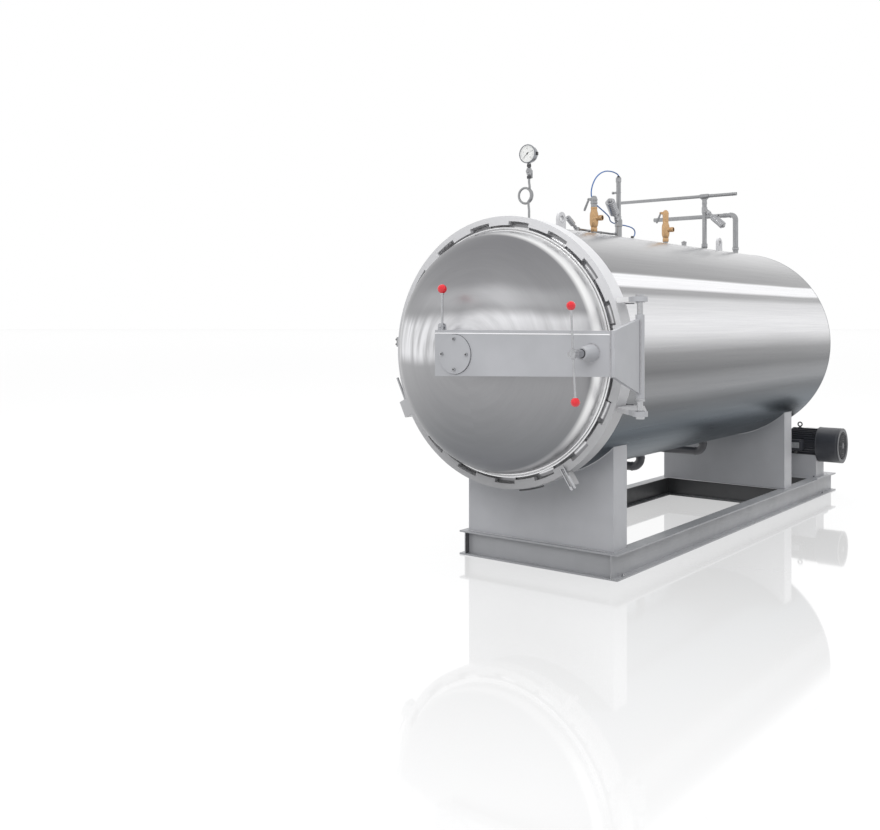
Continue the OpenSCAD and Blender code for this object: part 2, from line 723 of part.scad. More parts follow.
module relief_lever(y) color([0.7, 0.71, 0.73]) {
    lever_w = relief_ear_gap - 2 * over;
    lever_t = 6;
    pin_l = relief_ear_gap / 2 + relief_ear_t;
    translate([relief_pivot_x, y, jacket_top + relief_pivot_h]) {
        rod_y(-pin_l, pin_l, relief_pin_r);
        rod_y(-lever_w / 2, lever_w / 2, relief_ear_r);
        rotate([0, relief_lever_a, 0]) translate([0, -lever_w / 2, -lever_t / 2]) cube([relief_lever_l, lever_w, lever_t]);
    }
}

// Vent pipe with its angle-seat valve
vent_low_r = 21;
vent_r = 15;
vent_low_up = 120;
vent_low_z = jacket_top + vent_low_up;
vent_z = jacket_top + vent_up;
vent_wall = 3;
stub_up = 287;
stub_z = jacket_top + stub_up;
stub_l = 45;
module vent_pipe() color([0.78, 0.79, 0.8])
    translate([0, vent_y, 0]) difference() {
        union() {
            off_jacket_at(vent_y) rod_z(jacket_top - over, vent_low_z, vent_low_r);
            rod_z(vent_low_z - over, vent_z, vent_r);
            translate([0, 0, stub_z]) rod_x(-stub_l, 0, siphon_r);
        }
        rod_z(jacket_top + vent_low_r, vent_z - vent_wall, vent_r - vent_wall);
    }
// An angle-seat valve's bonnet and actuator, drawn upright from the pipe's wall
module actuator(neck_r, neck_l, body_r, body_l) {
    cap_h = body_r / 2;
    rod_z(0, neck_l, neck_r);
    rod_z(neck_l - over, neck_l + body_l, body_r);
    rod_z(neck_l + body_l - over, neck_l + body_l + cap_h, body_r / 2);
}
vent_valve_up = 95;
vent_valve_z = jacket_top + vent_valve_up;
valve_lean = 42;
valve_neck_r = 14;
valve_neck_l = 72;
valve_head_r = 31;
valve_head_l = 100;
module vent_valve() color([0.74, 0.75, 0.76])
    translate([0, vent_y, vent_valve_z]) difference() {
        rotate([valve_lean, 0, 0]) actuator(valve_neck_r, valve_neck_l, valve_head_r, valve_head_l);
        rod_z(-2 * vent_low_r, 4 * vent_low_r, vent_low_r + seat_gap / 2);
    }

// Thin purge line along the top, with its own valve near the front lifting lug
purge_x = -45;
purge_up = 28;
purge_z = jacket_top + purge_up;
purge_neck_r = 9;
purge_neck_l = 50;
purge_head_r = 17;
purge_head_l = 70;
purge_lean = 60;
purge_r = 8;
purge_bend_r = 18;
purge_y0 = 500;
module purge_line() color([0.74, 0.75, 0.76])
    difference() {
        union() {
            translate([purge_x, 0, purge_z]) rod_y(purge_y0, vent_y - purge_bend_r, purge_r);
            translate([purge_x + purge_bend_r, vent_y - purge_bend_r, purge_z]) rotate([0, 0, 90])
                rotate_extrude(angle = 90) translate([purge_bend_r, 0]) circle(r = purge_r);
            translate([0, vent_y, purge_z]) rod_x(purge_x + purge_bend_r, 0, purge_r);
            translate([purge_x, purge_y0, 0]) rod_z(jacket_top - 4 * purge_r, purge_z + 2 * purge_r, 2 * purge_r);
            translate([purge_x, purge_y0, purge_z]) rotate([purge_lean, 0, 0])
                actuator(purge_neck_r, purge_neck_l, purge_head_r, purge_head_l);
        }
        translate([0, jacket_y0, axis_z]) rod_y(0, jacket_y1 - jacket_y0, seat_r);
        translate([0, vent_y, 0]) rod_z(jacket_top, vent_z, vent_low_r + seat_gap / 2);
    }

// Short plugged nozzle
nozzle_r = 17;
nozzle_h = 34;
module top_nozzle() color([0.76, 0.77, 0.78])
    off_jacket() translate([0, nozzle_y, 0]) {
        rod_z(jacket_top - over, jacket_top + nozzle_h, nozzle_r);
        rod_z(jacket_top + nozzle_h - over, jacket_top + nozzle_h + nozzle_r / 2, nozzle_r + over);
    }

// Steam riser and header, and spray riser and header
steam_riser_r = 17;
header_r = 12;
header_wall = 2.5;
steam_z = jacket_top + steam_up;
spray_r = 21;
spray_header_r = 17;
spray_z = jacket_top + spray_up;
module steam_riser() color([0.78, 0.79, 0.8])
    translate([0, steam_y, 0]) difference() {
        union() {
            off_jacket_at(steam_y) rod_z(jacket_top - over, steam_z, steam_riser_r);
            translate([0, 0, steam_z]) rod_x(header_end_x, steam_end_x, header_r);
            translate([0, 0, steam_z]) rod_x(-2 * steam_riser_r, 2 * steam_riser_r, header_r + over * 2);
            translate([0, 0, steam_z]) sphere(r = steam_riser_r + over);
        }
        translate([0, 0, steam_z]) rod_x(header_end_x - over, steam_end_x + over, header_r - header_wall);
    }
steam_valve_up = 298;
steam_valve_lean = 48;
steam_neck_l = 88;
steam_head_r = 27;
steam_head_l = 104;
steam_valve_z = jacket_top + steam_valve_up;
module steam_valve() color([0.74, 0.75, 0.76])
    translate([0, steam_y, steam_valve_z]) difference() {
        rotate([0, 180 - steam_valve_lean, 0]) actuator(valve_neck_r, steam_neck_l, steam_head_r, steam_head_l);
        rod_z(-5 * steam_riser_r, 2 * steam_riser_r, steam_riser_r + seat_gap / 2);
    }
bend_r = 38;
module pipe_bend(r) rotate_extrude(angle = 90) translate([bend_r, 0]) circle(r = r);
module spray_riser() color([0.78, 0.79, 0.8])
    translate([0, spray_y, 0]) {
        off_jacket_at(spray_y) rod_z(jacket_top - over, spray_z - bend_r, spray_r);
        translate([-bend_r, 0, spray_z - bend_r]) rotate([90, 0, 0]) pipe_bend(spray_r);
        translate([0, 0, spray_z]) rod_x(header_end_x, -bend_r, spray_header_r);
    }

// Air tube from the top of the vent pipe round the front safety valve to a socket on the cladding
tube_r = 4;
tube_sides = 10;
tube_steps = 3;
tube_side_shares = [1, 0.15, 0.1];
tube_rise = 6;
tube_points = [[0, vent_y, vent_z], [0, vent_y, vent_z + tube_rise], [0, vent_y, vent_z + 2 * tube_rise],
    [-2, 924, 2293], [-4, 880, 2300], [-7, 830, 2300], [-10, 780, 2293],
    [-15, 730, 2274], [-21, 690, 2244], [-27, 664, 2205], [-31, 652, 2165], [-32, 654, 2130], [-29, 668, 2100],
    [-22, 702, 2077], [-16, 790, 2041], [-20, 850, 2019], [-38, 900, 2001], [-46, 945, 1991], [-38, 1000, 1984],
    [-18, 1060, 1979], [-4, 1115, 1971], [0, 1150, 1958], [0, 1162, 1938], [0, 1150, 1918], [0, 1128, 1906]];
function unit(v) = v / norm(v);
function tube_way(p, i) = unit(p[min(i + 1, len(p) - 1)] - p[max(i - 1, 0)]);
function smooth_at(p, i, t) =
    let (a = p[max(i - 1, 0)], b = p[i], c = p[min(i + 1, len(p) - 1)], d = p[min(i + 2, len(p) - 1)])
    0.5 * (2 * b + (c - a) * t + (2 * a - 5 * b + 4 * c - d) * t * t + (3 * b - a - 3 * c + d) * t * t * t);
function smooth_path(p, n) =
    concat([for (i = [0 : len(p) - 2]) for (k = [0 : n - 1]) smooth_at(p, i, k / n)], [p[len(p) - 1]]);
module swept_tube(route, r, sides) {
    rings = len(route);
    points = [for (i = [0 : rings - 1]) let (w = tube_way(route, i), u = unit(cross(w, tube_side_shares)), v = cross(w, u))
        for (k = [0 : sides - 1]) route[i] + r * (cos(360 * k / sides) * u + sin(360 * k / sides) * v)];
    walls = [for (i = [0 : rings - 2]) for (k = [0 : sides - 1]) let (m = (k + 1) % sides)
        each [[i * sides + k, (i + 1) * sides + m, i * sides + m], [i * sides + k, (i + 1) * sides + k, (i + 1) * sides + m]]];
    start = [[for (k = [0 : sides - 1]) k]];
    end = [[for (k = [sides - 1 : -1 : 0]) (rings - 1) * sides + k]];
    polyhedron(points = points, faces = concat(start, walls, end));
}
module air_tube() color([0.12, 0.35, 0.68]) swept_tube(smooth_path(tube_points, tube_steps), tube_r, tube_sides);

// Interlock valve beside the ring, on a bracket from the cladding's front
interlock_rise = 45;
bracket_gap = 10;
bracket_t = 6;
bracket_h = 40;
bracket_foot = 40;
switch_d = 28;
switch_w = 28;
switch_h = 56;
switch_port_r = 8;
switch_port_l = 16;
switch_y = ring_face_y + ring_l / 2;
bracket_x = -ring_r - bracket_gap - bracket_t;
module interlock_valve() color([0.1, 0.1, 0.11])
    difference() {
        translate([bracket_x, 0, axis_z + interlock_rise]) {
            translate([0, switch_y - switch_w / 2, -bracket_h / 2])
                cube([bracket_t, jacket_y0 + bracket_foot - switch_y + switch_w / 2, bracket_h]);
            translate([0, jacket_y0 + over, -bracket_h / 2])
                cube([ring_r - jacket_r + bracket_gap + 2 * bracket_t, bracket_foot - over, bracket_h]);
            translate([-switch_d, switch_y - switch_w / 2, -switch_h / 2]) cube([switch_d, switch_w, switch_h]);
            for (side = [-1, 1]) translate([-switch_d, switch_y, side * switch_h / 4])
                rod_x(-switch_port_l, over, switch_port_r);
        }
        translate([0, jacket_y0, axis_z]) rod_y(0, jacket_y1, seat_r);
    }

// Drain pipes under the vessel, each turning to the left
drain_z = axis_z - jacket_r - drain_drop;
drain_bend_r = 60;
module drain_pipes() color([0.4, 0.4, 0.42])
    difference() {
        for (y = [front_drain_y, rear_drain_y]) translate([0, y, 0]) {
            rod_z(drain_z + drain_bend_r, axis_z - jacket_r + 2 * over, drain_r);
            translate([-drain_bend_r, 0, drain_z + drain_bend_r]) rotate([-90, 0, 0])
                rotate_extrude(angle = 90) translate([drain_bend_r, 0]) circle(r = drain_r);
            translate([0, 0, drain_z]) rod_x(drain_end_x, -drain_bend_r, drain_r);
        }
        translate([0, jacket_y0, axis_z]) rod_y(0, jacket_y1 - jacket_y0, seat_r);
    }

// Circulation pump on its bed across the side beams
bed_w = 260;
pump_y = base_y1 - pump_in;
pedestal_x0 = 300;
pedestal_w = fan_x0 - pedestal_x0 - over;
pedestal_d = 190;
module pump_bed() color([0.66, 0.67, 0.69])
    translate([0, pump_y, beam_h]) {
        translate([-base_w / 2, -bed_w / 2, 0]) cube([base_w, bed_w, bed_t]);
        difference() {
            translate([pedestal_x0, -pedestal_d / 2, 0]) cube([pedestal_w, pedestal_d, pump_z - beam_h - motor_r / 2]);
            translate([0, 0, pump_z - beam_h]) rod_x(0, base_w, motor_r + seat_gap / 2);
        }
    }
pump_x0 = 60;
pump_w = 90;
inlet_l = 70;
inlet_r = 38;
inlet_flange_r = 70;
bell_share = 0.75;
module pump_casing() color([0.35, 0.36, 0.38])
    translate([0, pump_y, pump_z]) {
        rod_x(pump_x0, pump_x0 + pump_w, pump_r);
        rod_x(pump_x0 + pump_w - over, motor_x0, motor_r * bell_share);
        rod_x(pump_x0 - inlet_l, pump_x0 + over, inlet_r);
        rod_x(pump_x0 - inlet_l - bed_t, pump_x0 - inlet_l, inlet_flange_r);
        translate([pump_x0 + pump_w / 2, pump_r / 2, 0]) rod_z(0, pump_r + inlet_l, inlet_r);
        translate([pump_x0 + pump_w / 2, pump_r / 2, pump_r + inlet_l]) rod_z(-over, bed_t, inlet_flange_r);
        translate([pump_x0 + pump_w / 4, -inlet_r, beam_h + bed_t - pump_z]) cube([pump_w / 2, 2 * inlet_r, pump_z - beam_h - bed_t]);
    }
module pump_motor() color([0.25, 0.26, 0.28])
    translate([0, pump_y, pump_z]) {
        fin_n = 36;
        fin_h = 11;
        fin_t = 3;
        box_w = 110;
        box_share = 0.75;
        rod_x(motor_x0, fan_x0 + over, motor_r - fin_h);
        for (k = [0 : fin_n - 1]) rotate([360 * (k + 0.5) / fin_n, 0, 0])
            translate([motor_x0 + fin_h, -fin_t / 2, motor_r - fin_h - over])
                cube([fan_x0 + over - motor_x0 - fin_h, fin_t, fin_h + over]);
        rod_x(fan_x0, fan_x1, fan_r);
        translate([motor_x0 + 2 * fin_h, -motor_r - box_w / 2, -box_share * box_w / 2])
            cube([box_w, box_w, box_w * box_share]);
    }

side_beams();
cross_beams();
saddles();
vessel_shell();
rear_head();
body_flange();
door_gasket();
insulation_jacket();
rear_jacket_cap();
hinge_lugs();
hinge_pin();
locking_ring();
ring_handle_block();
ring_handle();
ring_stop();
door_rim();
door_dish();
door_pivot();
bearing_cap();
door_arm();
hinge_leaf();
clamp_screw();
clamp_knobs();
latch_lever();
latch_knob();
lifting_lugs();
gauge_siphon();
pressure_gauge();
relief_valve(front_relief_y);  // front_relief_valve
relief_valve(rear_relief_y);  // rear_relief_valve
relief_lever(front_relief_y);  // front_relief_lever
relief_lever(rear_relief_y);  // rear_relief_lever
vent_pipe();
vent_valve();
purge_line();
top_nozzle();
steam_riser();
steam_valve();
spray_riser();
air_tube();
interlock_valve();
drain_pipes();
pump_bed();
pump_casing();
pump_motor();
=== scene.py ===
import json
from math import asin, cos, degrees, hypot, pi, radians, sin

import bmesh
import bpy
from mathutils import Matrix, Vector


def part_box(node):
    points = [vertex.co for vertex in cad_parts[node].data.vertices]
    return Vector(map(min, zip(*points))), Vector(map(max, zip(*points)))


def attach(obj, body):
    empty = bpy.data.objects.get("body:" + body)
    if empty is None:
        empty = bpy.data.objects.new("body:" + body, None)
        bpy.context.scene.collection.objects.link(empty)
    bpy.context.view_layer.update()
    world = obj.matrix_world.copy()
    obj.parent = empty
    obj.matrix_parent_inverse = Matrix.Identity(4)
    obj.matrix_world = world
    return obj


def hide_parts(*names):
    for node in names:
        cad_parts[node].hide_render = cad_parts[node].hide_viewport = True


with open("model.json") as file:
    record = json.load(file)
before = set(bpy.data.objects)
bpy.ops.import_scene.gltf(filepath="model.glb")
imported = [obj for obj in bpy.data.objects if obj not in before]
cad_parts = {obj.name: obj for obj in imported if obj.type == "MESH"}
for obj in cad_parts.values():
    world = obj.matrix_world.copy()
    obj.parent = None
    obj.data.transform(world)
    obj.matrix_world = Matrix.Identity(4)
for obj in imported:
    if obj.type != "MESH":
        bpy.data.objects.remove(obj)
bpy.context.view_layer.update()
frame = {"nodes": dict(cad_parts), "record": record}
nodes = frame["nodes"]

# Main places of the vessel, in metres, taken from the frame
jacket_lo, jacket_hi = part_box("insulation_jacket")
AXIS = Vector((0.0, 0.0, (jacket_lo.z + jacket_hi.z) / 2))
JACKET_R = (jacket_hi.z - jacket_lo.z) / 2
TOP = jacket_hi.z
X = Vector((1, 0, 0))
Y = Vector((0, 1, 0))
Z = Vector((0, 0, 1))


def middle(node):
    lo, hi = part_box(node)
    return (lo + hi) / 2


def new_object(name, data):
    obj = bpy.data.objects.new(name, data)
    bpy.context.scene.collection.objects.link(obj)
    return obj


# Camera, at the photograph's place and angle
def make_camera():
    data = bpy.data.cameras.new("camera")
    data.sensor_width = 36.0
    data.lens = 41.318
    data.shift_y = -0.10557
    data.clip_end = 200.0
    cam = new_object("camera", data)
    cam.location = (3.0504, -4.7693, 1.360)
    cam.rotation_euler = (radians(90), 0, radians(38.14))
    bpy.context.scene.camera = cam


make_camera()


# Shader helpers
class Tree:
    def __init__(self, name):
        self.mat = bpy.data.materials.new(name)
        self.mat.use_nodes = True
        self.nodes = self.mat.node_tree.nodes
        self.links = self.mat.node_tree.links
        self.bsdf = self.nodes["Principled BSDF"]

    def add(self, kind, **values):
        node = self.nodes.new(kind)
        for key, value in values.items():
            setattr(node, key, value)
        return node

    def put(self, name, source):
        """A value or a socket into the shader's named input."""
        self.feed(self.bsdf.inputs[name], source)

    def pair(self, a, b):
        """A place made of two values."""
        node = self.add("ShaderNodeCombineXYZ")
        self.links.new(a, node.inputs["X"])
        self.links.new(b, node.inputs["Y"])
        return node.outputs[0]

    def times(self, a, b):
        """One value multiplied by another."""
        return self.math("MULTIPLY", a, b)

    def feed(self, socket, source):
        if isinstance(source, bpy.types.NodeSocket):
            self.links.new(source, socket)
        else:
            socket.default_value = source

    def place(self, stretch=(1, 1, 1)):
        """Object coordinates, stretched."""
        coord = self.add("ShaderNodeTexCoord")
        mapping = self.add("ShaderNodeMapping")
        mapping.inputs["Scale"].default_value = stretch
        self.links.new(coord.outputs["Object"], mapping.inputs["Vector"])
        return mapping.outputs["Vector"]

    def math(self, operation, a, b=0.0, clamp=False):
        node = self.add("ShaderNodeMath", operation=operation, use_clamp=clamp)
        self.feed(node.inputs[0], a)
        self.feed(node.inputs[1], b)
        return node.outputs[0]

    def noise(self, vector, scale, detail=3.0, rough=0.5):
        node = self.add("ShaderNodeTexNoise")
        self.links.new(vector, node.inputs["Vector"])
        node.inputs["Scale"].default_value = scale
        node.inputs["Detail"].default_value = detail
        node.inputs["Roughness"].default_value = rough
        return node.outputs["Fac"]

    def remap(self, value, low, high, to_low=0.0, to_high=1.0):
        node = self.add("ShaderNodeMapRange")
        self.feed(node.inputs["Value"], value)
        node.inputs["From Min"].default_value = low
        node.inputs["From Max"].default_value = high
        node.inputs["To Min"].default_value = to_low
        node.inputs["To Max"].default_value = to_high
        return node.outputs[0]

    def hill(self, value, foot, low, high, end):
        """1 between low and high, falling smoothly to 0 at foot and at end."""
        rise = self.remap(value, foot, low)
        fall = self.remap(value, high, end, 1.0, 0.0)
        for slope in (rise, fall):
            slope.node.interpolation_type = "SMOOTHSTEP"
        return self.times(rise, fall)

    def ramp(self, value, stops):
        """Colours at rising places of a value."""
        low, high = stops[0][0], stops[-1][0]
        node = self.add("ShaderNodeValToRGB")
        self.feed(node.inputs[0], self.remap(value, low, high))
        elements = node.color_ramp.elements
        for place, color in stops[1:-1]:
            elements.new((place - low) / (high - low)).color = (*color, 1.0)
        elements[0].color = (*stops[0][1], 1.0)
        elements[len(stops) - 1].color = (*stops[-1][1], 1.0)
        return node.outputs["Color"]

    def tint(self, a, b):
        """One colour multiplied by another."""
        node = self.add("ShaderNodeMix", data_type="RGBA", blend_type="MULTIPLY")
        node.inputs[0].default_value = 1.0
        self.links.new(a, node.inputs[6])
        self.links.new(b, node.inputs[7])
        return node.outputs[2]

    def mix(self, factor, a, b):
        node = self.add("ShaderNodeMix", data_type="RGBA")
        self.feed(node.inputs["Factor"], factor)
        for socket, value in ((node.inputs["A"], a), (node.inputs["B"], b)):
            socket = [s for s in node.inputs if s.name == socket.name and s.type == "RGBA"][0]
            self.feed(socket, value if isinstance(value, bpy.types.NodeSocket) else (*value, 1.0))
        return [s for s in node.outputs if s.type == "RGBA"][0]

    def bump(self, height, strength, distance):
        node = self.add("ShaderNodeBump")
        node.inputs["Strength"].default_value = strength
        node.inputs["Distance"].default_value = distance
        self.links.new(height, node.inputs["Height"])
        self.links.new(node.outputs["Normal"], self.bsdf.inputs["Normal"])


def shade(color, share):
    return tuple(min(1.0, c * share) for c in color)


def painted_tree(name, color, rough):
    """Sprayed paint: slight orange peel, cloudy tone and dust. Gives the tree and its colour."""
    t = Tree(name)
    place = t.place()
    cloud = t.noise(place, 3.0, 4.0)
    paint = t.mix(t.remap(cloud, 0.35, 0.7), shade(color, 1.05), shade(color, 0.9))
    t.put("Base Color", paint)
    t.put("Roughness", t.remap(t.noise(place, 18.0), 0.3, 0.7, rough - 0.06, rough + 0.1))
    t.put("Coat Weight", 0.25)
    t.put("Coat Roughness", 0.15)
    t.bump(t.noise(place, 260.0, 2.0), 0.12, 0.0006)
    return t, paint


def painted(name, color, rough=0.38):
    return painted_tree(name, color, rough)[0].mat


def frame_paint(name, color):
    """Beam paint, with painted shade on the faces that lie under the vessel."""
    t, paint = painted_tree(name, color, 0.42)
    coord = t.add("ShaderNodeTexCoord")
    place, facing = t.add("ShaderNodeSeparateXYZ"), t.add("ShaderNodeSeparateXYZ")
    t.links.new(coord.outputs["Object"], place.inputs[0])
    t.links.new(coord.outputs["Normal"], facing.inputs[0])
    # Painted shade: darker on the left beam's inner face and on the front faces of the rear cross beams.
    shade_on_left_beam = t.times(t.math("GREATER_THAN", facing.outputs["X"], 0.5), t.math("LESS_THAN", place.outputs["X"], 0.0))
    shade_on_rear_beams = t.times(t.math("LESS_THAN", facing.outputs["Y"], -0.5), t.math("GREATER_THAN", place.outputs["Y"], 0.3))
    t.put("Base Color", t.mix(t.math("MAXIMUM", shade_on_left_beam, shade_on_rear_beams), paint, shade(color, 0.22)))
    return t.mat


def ring_enamel(name, color):
    """Paint of the arm and the ring. On the ring, painted light and shade: lighter at the crown and the right, duller
    towards the foot, with a painted white highlight on the upper right of its outer face.
    """
    t, paint = painted_tree(name, color, 0.36)
    radius, angle, across, along, up = turned_place(t)
    # Painted light and shade round the ring: lightest on top and at the right, darkest at the foot.
    painted_light_tones = [(-180, 0.34), (-130, 0.44), (-60, 0.60), (0, 0.66), (90, 0.66), (130, 0.46), (180, 0.34)]
    ring = t.ramp(angle, [(radians(a), (g, g, g * 1.02)) for a, g in painted_light_tones])
    # A painted white highlight on the ring's outer face, on its upper right.
    crown = t.times(t.remap(radius, 0.724, 0.727), t.hill(angle, 0.0, 0.3, 1.1, 1.5))
    ring = t.mix(crown, ring, (1.0, 1.0, 1.0))
    on_ring = t.times(t.remap(radius, 0.664, 0.668), t.remap(along, -0.47, -0.46))
    t.put("Base Color", t.mix(on_ring, paint, ring))
    return t.mat


def plain_metal(name, color, rough=0.3, stretch=(1, 1, 1), grain=0.15, scale=90.0, metallic=1.0):
    """Bare metal with a drawn grain along the short direction of the stretch."""
    t = Tree(name)
    place = t.place(stretch)
    fine = t.noise(place, scale, 4.0, 0.6)
    cloud = t.noise(t.place(), 2.5, 3.0)
    tone = t.math("ADD", t.remap(fine, 0.3, 0.7, -0.5, 0.5), t.remap(cloud, 0.3, 0.7, -0.25, 0.25))
    t.put("Base Color", t.mix(t.remap(tone, -0.6, 0.6), shade(color, 1.0 + grain / 2), shade(color, 1.0 - grain)))
    t.put("Metallic", metallic)
    t.put("Roughness", t.remap(fine, 0.3, 0.7, rough - 0.05, rough + 0.08))
    t.bump(fine, 0.06, 0.0004)
    return t.mat


def plastic(name, color, rough=0.35, coat=0.3):
    t = Tree(name)
    place = t.place()
    cloud = t.noise(place, 12.0, 3.0)
    t.put("Base Color", t.mix(t.remap(cloud, 0.3, 0.7), shade(color, 1.06), shade(color, 0.9)))
    t.put("Roughness", t.remap(t.noise(place, 60.0), 0.3, 0.7, rough - 0.05, rough + 0.07))
    t.put("Coat Weight", coat)
    t.put("Coat Roughness", 0.08)
    t.bump(t.noise(place, 500.0, 2.0), 0.05, 0.0003)
    return t.mat


def turned_place(t):
    """Distance from the vessel's axis and angle round it, and the places across, along and over the axis."""
    coord = t.add("ShaderNodeTexCoord")
    parts = t.add("ShaderNodeSeparateXYZ")
    t.links.new(coord.outputs["Object"], parts.inputs[0])
    up = t.math("SUBTRACT", parts.outputs["Z"], AXIS.z)
    across = parts.outputs["X"]
    radius = t.math("SQRT", t.math("ADD", t.times(across, across), t.times(up, up)))
    angle = t.math("ARCTAN2", across, up)
    return radius, angle, across, parts.outputs["Y"], up


def brushed_dish(name):
    """Stainless sheet brushed in arcs round the vessel's axis. Its colour carries painted reflections: lightest a
    little above the middle and duller towards the foot, painted highlights of the brushing above the middle and at
    the left, and a painted highlight on the upper right of its edge.
    """
    t = Tree(name)
    radius, angle, across, along, up = turned_place(t)
    place = t.pair(radius, t.times(angle, 0.035))
    rings = t.noise(place, 150.0, 5.0, 0.65)
    broad = t.noise(place, 26.0, 3.0)
    waves = t.noise(t.place(), 1.6, 3.0)
    wavy = t.math("ADD", up, t.remap(waves, 0.3, 0.7, -0.03, 0.03))
    # Painted reflection over the height: lightest a little above the middle, darker to the top and darkest at the
    # foot.
    tone = t.ramp(wavy, [(-0.66, (0.155, 0.160, 0.175)), (-0.45, (0.225, 0.23, 0.24)), (-0.20, (0.335, 0.335, 0.345)),
                         (0.02, (0.41, 0.41, 0.42)), (0.24, (0.33, 0.33, 0.34)), (0.45, (0.27, 0.27, 0.28)),
                         (0.66, (0.21, 0.21, 0.22))])
    # Painted highlights of the brushing: a band above the middle, a lobe higher up and streaks at the left.
    wedge_highlight = t.times(t.hill(wavy, 0.05, 0.13, 0.175, 0.235), t.hill(across, -0.50, 0.0, 0.45, 1.1))
    lobe_highlight = t.times(t.hill(wavy, 0.20, 0.27, 0.29, 0.36), t.hill(across, -0.50, -0.20, 0.30, 0.70))
    streak_highlights = t.times(t.hill(wavy, -0.06, 0.02, 0.14, 0.22), t.hill(across, -0.60, -0.55, -0.28, -0.10))
    tone = t.mix(t.times(wedge_highlight, t.remap(broad, 0.3, 0.7, 0.75, 1.0)), tone, (0.80, 0.80, 0.82))
    tone = t.mix(t.times(lobe_highlight, 0.30), tone, (0.70, 0.70, 0.72))
    tone = t.mix(t.times(streak_highlights, t.remap(broad, 0.38, 0.60, 0.35, 1.0)), tone, (0.86, 0.86, 0.88))
    # A painted highlight on the dish's edge, from its top round its right side.
    edge = t.mix(t.hill(angle, -0.2, 0.4, 1.9, 2.5), (0.42, 0.42, 0.43), (0.95, 0.95, 0.95))
    tone = t.mix(t.remap(radius, 0.612, 0.624), tone, edge)
    brushed = t.math("ADD", t.remap(rings, 0.3, 0.7, 0.0, 0.5), t.remap(broad, 0.3, 0.7, 0.0, 0.5))
    t.put("Base Color", t.tint(tone, t.mix(brushed, (0.88, 0.88, 0.88), (1.0, 1.0, 1.0))))
    t.put("Metallic", 0.9)
    t.put("Anisotropic", 0.6)
    t.put("Roughness", t.remap(rings, 0.3, 0.7, 0.3, 0.42))
    tangent = t.add("ShaderNodeTangent", direction_type="RADIAL", axis="Y")
    t.put("Tangent", tangent.outputs[0])
    t.bump(rings, 0.08, 0.0005)
    return t.mat


def rolled_jacket(name):
    """Rolled cladding: lengthwise roll marks, and painted reflections round its axis: a bright painted highlight band
    on its shoulder, lighter and darker bands on its upper half, and a blue-grey painted shade on its under side,
    where its reflection is also dimmed.
    """
    # Painted reflections by angle from the top, in degrees: the white band from 54 to 60 is a painted highlight, and
    # the darkening past 90 is painted shade.
    painted_light_tones = [(0, 0.56), (18, 0.60), (34, 0.46), (44, 0.31), (53.2, 0.27), (54, 1.0), (60, 1.0), (61, 0.36),
            (63.5, 0.36),
             (66, 0.68), (76, 0.84), (82, 0.78), (91, 0.27), (99, 0.17), (104, 0.27), (109, 0.30), (115, 0.155)]
    # Blue-grey painted shade on the under side.
    underside_shade = [(128, (0.120, 0.140, 0.158)), (150, (0.112, 0.136, 0.154)), (180, (0.115, 0.138, 0.155))]
    t = Tree(name)
    radius, angle, across, along, up = turned_place(t)
    side = t.math("ABSOLUTE", angle)
    rolls = t.noise(t.pair(side, t.times(along, 0.02)), 60.0, 4.0, 0.6)
    waves = t.noise(t.place((0.5, 0.25, 0.5)), 1.3, 2.0)
    wavy = t.math("ADD", side, t.remap(waves, 0.3, 0.7, -0.015, 0.015))
    tone = t.ramp(wavy, [(radians(a), (g, g, g * 1.015)) for a, g in painted_light_tones] + [(radians(a), c) for a, c in underside_shade])
    tone = t.mix(t.remap(radius, 0.1, 0.69), (0.40, 0.41, 0.42), tone)
    rolled = t.mix(t.remap(rolls, 0.3, 0.7), (1.0, 1.0, 1.0), (0.91, 0.91, 0.92))
    t.put("Base Color", t.tint(tone, rolled))
    t.put("Metallic", 0.96)
    # Painted shade: the reflection is tinted darker on the under side.
    t.put("Specular Tint", t.mix(t.remap(side, radians(86), radians(112)), (1.0, 1.0, 1.0), (0.66, 0.68, 0.70)))
    t.put("Roughness", t.remap(rolls, 0.3, 0.7, 0.2, 0.28))
    t.bump(t.math("ADD", rolls, t.times(waves, 3.0)), 0.05, 0.0006)
    return t.mat


def rim_metal(name, color):
    """Machined rim: bright on its bead, and duller on its teeth, whose darker colour is painted shade, as they sit
    back in the ring's slots.
    """
    t = Tree(name)
    radius, angle, across, along, up = turned_place(t)
    fine = t.noise(t.pair(radius, t.times(angle, 0.03)), 220.0, 4.0, 0.6)
    # Painted shade on the teeth, past the bead.
    root = t.remap(radius, 0.662, 0.670)
    bright = t.mix(t.remap(fine, 0.3, 0.7), shade(color, 1.06), shade(color, 0.88))
    t.put("Base Color", t.mix(root, bright, (0.30, 0.30, 0.31)))
    t.put("Metallic", 1.0)
    t.put("Roughness", t.remap(root, 0.0, 1.0, 0.24, 0.45))
    t.bump(fine, 0.05, 0.0003)
    return t.mat


def dial_face(name):
    """White enamel under clear glass."""
    t = Tree(name)
    t.put("Base Color", t.mix(t.remap(t.noise(t.place(), 30.0), 0.3, 0.7), (0.84, 0.84, 0.82), (0.76, 0.77, 0.76)))
    t.put("Roughness", 0.3)
    t.put("Coat Weight", 1.0)
    t.put("Coat Roughness", 0.02)
    return t.mat


